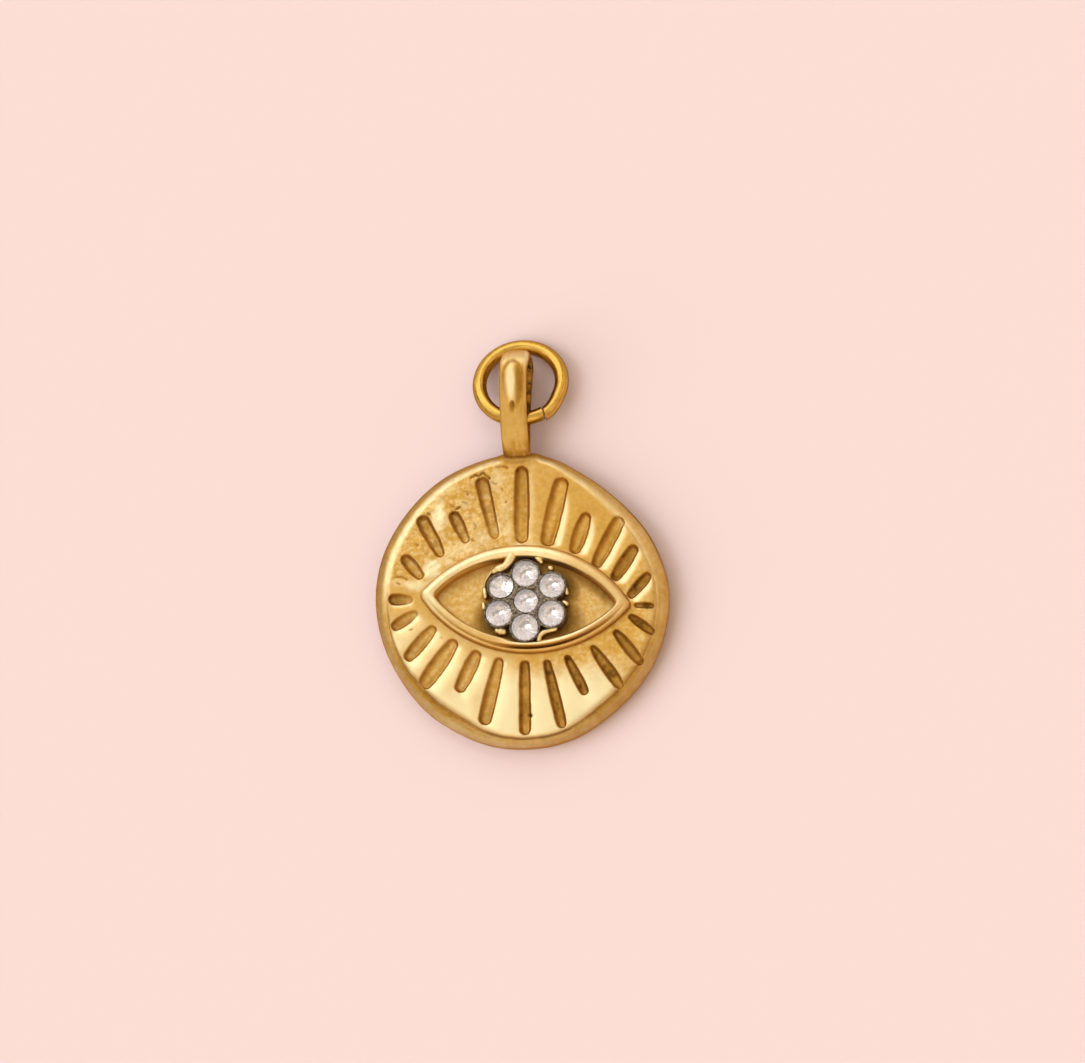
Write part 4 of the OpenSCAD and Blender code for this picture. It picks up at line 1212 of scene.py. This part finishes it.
# The room as the metal mirrors it. Each glow is a direction, the cosines of the angles at which
# it begins and is full, its brightness and its colour.
ROOM_COLOUR = (0.62, 0.56, 0.46, 1)
GLOWS = [
    ((-0.22, 0.38, 0.90), 0.66, 0.95, 0.42, "#ffffff"),
    ((-0.66, 0.26, 0.70), 0.86, 0.98, 0.34, "#ffffff"),
    ((-0.42, 0.76, 0.50), 0.68, 0.95, 0.43, "#ffffff"),
    ((-0.20, -0.50, 0.84), 0.80, 0.98, 0.26, "#fff2dc"),
    ((0.85, 0.05, 0.45), 0.60, 0.98, 0.43, "#ffc468"),
    ((-0.50, -0.70, 0.32), 0.60, 0.98, 0.34, "#ffd286"),
    ((0.25, -0.88, 0.36), 0.66, 0.98, 0.38, "#ffc06c"),
    ((0.42, 0.85, 0.30), 0.66, 0.98, 0.24, "#ffd08a"),
]
# Brightness of the room at the height of the floor, and the height from which it is full.
LOW_SHADE = 0.6
LOW_HEIGHT = 0.45
# Things in the room: size as a share of the distance, and their darkest and brightest share.
CLUTTER_SIZE = 0.16
CLUTTER_SHADES = (0.30, 1.70)


def make_world():
    """Soft room light: a warm room with a few broad glows, brightest at the upper left, darker
    near the floor, and broken up by small things that only the stones mirror sharply."""
    world = bpy.data.worlds.new("studio")
    bpy.context.scene.world = world
    world.use_nodes = True
    tree = world.node_tree
    place = add_node(tree, "ShaderNodeTexCoord").outputs["Generated"]
    total = add_node(tree, "ShaderNodeRGB").outputs[0]
    total.default_value = ROOM_COLOUR
    for toward, start, full, strength, colour in GLOWS:
        cosine = add_node(tree, "ShaderNodeVectorMath", {"operation": "DOT_PRODUCT"},
                          {0: place, 1: Vector(toward).normalized()})
        glow = add_node(tree, "ShaderNodeMapRange", {"interpolation_type": "SMOOTHSTEP"},
                        {"Value": cosine.outputs["Value"], "From Min": start, "From Max": full,
                         "To Min": 0.0, "To Max": strength})
        tint = add_node(tree, "ShaderNodeMix",
                        {"data_type": "RGBA", "blend_type": "ADD", "clamp_factor": False},
                        {"Factor": glow.outputs[0], 6: total, 7: linear(colour)})
        total = tint.outputs[2]
    thing = add_node(tree, "ShaderNodeTexNoise", {},
                     {"Vector": place, "Scale": 1 / CLUTTER_SIZE, "Detail": 1.0})
    shade = add_node(tree, "ShaderNodeMapRange", {},
                     {"Value": thing.outputs["Fac"], "From Min": 0.35, "From Max": 0.65,
                      "To Min": CLUTTER_SHADES[0], "To Max": CLUTTER_SHADES[1]})
    level = add_node(tree, "ShaderNodeSeparateXYZ", {}, {"Vector": place}).outputs["Z"]
    low = add_node(tree, "ShaderNodeMapRange", {},
                   {"Value": level, "From Max": LOW_HEIGHT, "To Min": LOW_SHADE})
    both = add_node(tree, "ShaderNodeMath", {"operation": "MULTIPLY"},
                    {0: shade.outputs[0], 1: low.outputs[0]})
    room = add_node(tree, "ShaderNodeVectorMath", {"operation": "SCALE"},
                    {0: total, "Scale": both.outputs[0]})
    tree.links.new(room.outputs[0], tree.nodes["Background"].inputs["Color"])
    tree.nodes["Background"].inputs["Strength"].default_value = 1.0


# Camera: tilt towards the lower edge, turn towards the right, the picture's size and scale, the
# pixel at which the disc's middle falls, the height for which that holds, and the lens.
VIEW_TILT = math.radians(16)
VIEW_TURN = math.radians(8)
PHOTO_W = 1085
PHOTO_H = 1063
PIXELS_PER_MM = 17.64
DISC_PIXEL = (523, 602)
PLANE_Z = 0.7
LENS = 400
SENSOR = 36


def make_camera():
    """A long lens at the photograph's angle, aimed so that the disc's middle falls on its pixel."""
    st, ct = math.sin(VIEW_TILT), math.cos(VIEW_TILT)
    sa, ca = math.sin(VIEW_TURN), math.cos(VIEW_TURN)
    right = Vector((ca, 0, -sa))
    up = Vector((st * sa, ct, st * ca))
    back = Vector((sa * ct, -st, ca * ct))
    shift_x = (PHOTO_W / 2 - DISC_PIXEL[0]) / PIXELS_PER_MM
    shift_y = (DISC_PIXEL[1] - PHOTO_H / 2) / PIXELS_PER_MM
    target = Vector((0, 0, PLANE_Z)) + right * shift_x + up * shift_y
    distance = LENS / SENSOR * PHOTO_W / PIXELS_PER_MM
    data = bpy.data.cameras.new("camera")
    data.lens = LENS
    data.sensor_width = SENSOR
    data.clip_start = 0.01
    data.clip_end = 10
    camera = bpy.data.objects.new("camera", data)
    bpy.context.scene.collection.objects.link(camera)
    turn = Matrix((right, up, back)).transposed().to_4x4()
    camera.matrix_world = Matrix.Translation((target + back * distance) * MM) @ turn
    bpy.context.scene.camera = camera


make_camera()

gold = plated_gold()
crystal = cut_crystal()

medallion = make_medallion()
paint(medallion, gold)
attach(medallion, "root")
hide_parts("medallion")

setting = make_setting()
paint(setting, oxidised_metal())
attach(setting, "root")
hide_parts("stone_setting")

ring = make_ring()
paint(ring, plated_wire())
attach(ring, "root")
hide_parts("jump_ring")

for node_name in STONE_NODES:
    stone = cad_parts[node_name]
    paint(stone, crystal)

make_floor()
make_world()
make_sun("soft_lamp", LAMP_WAY, LAMP_STRENGTH, LAMP_SPREAD)
bpy.context.scene.view_settings.view_transform = "Standard"
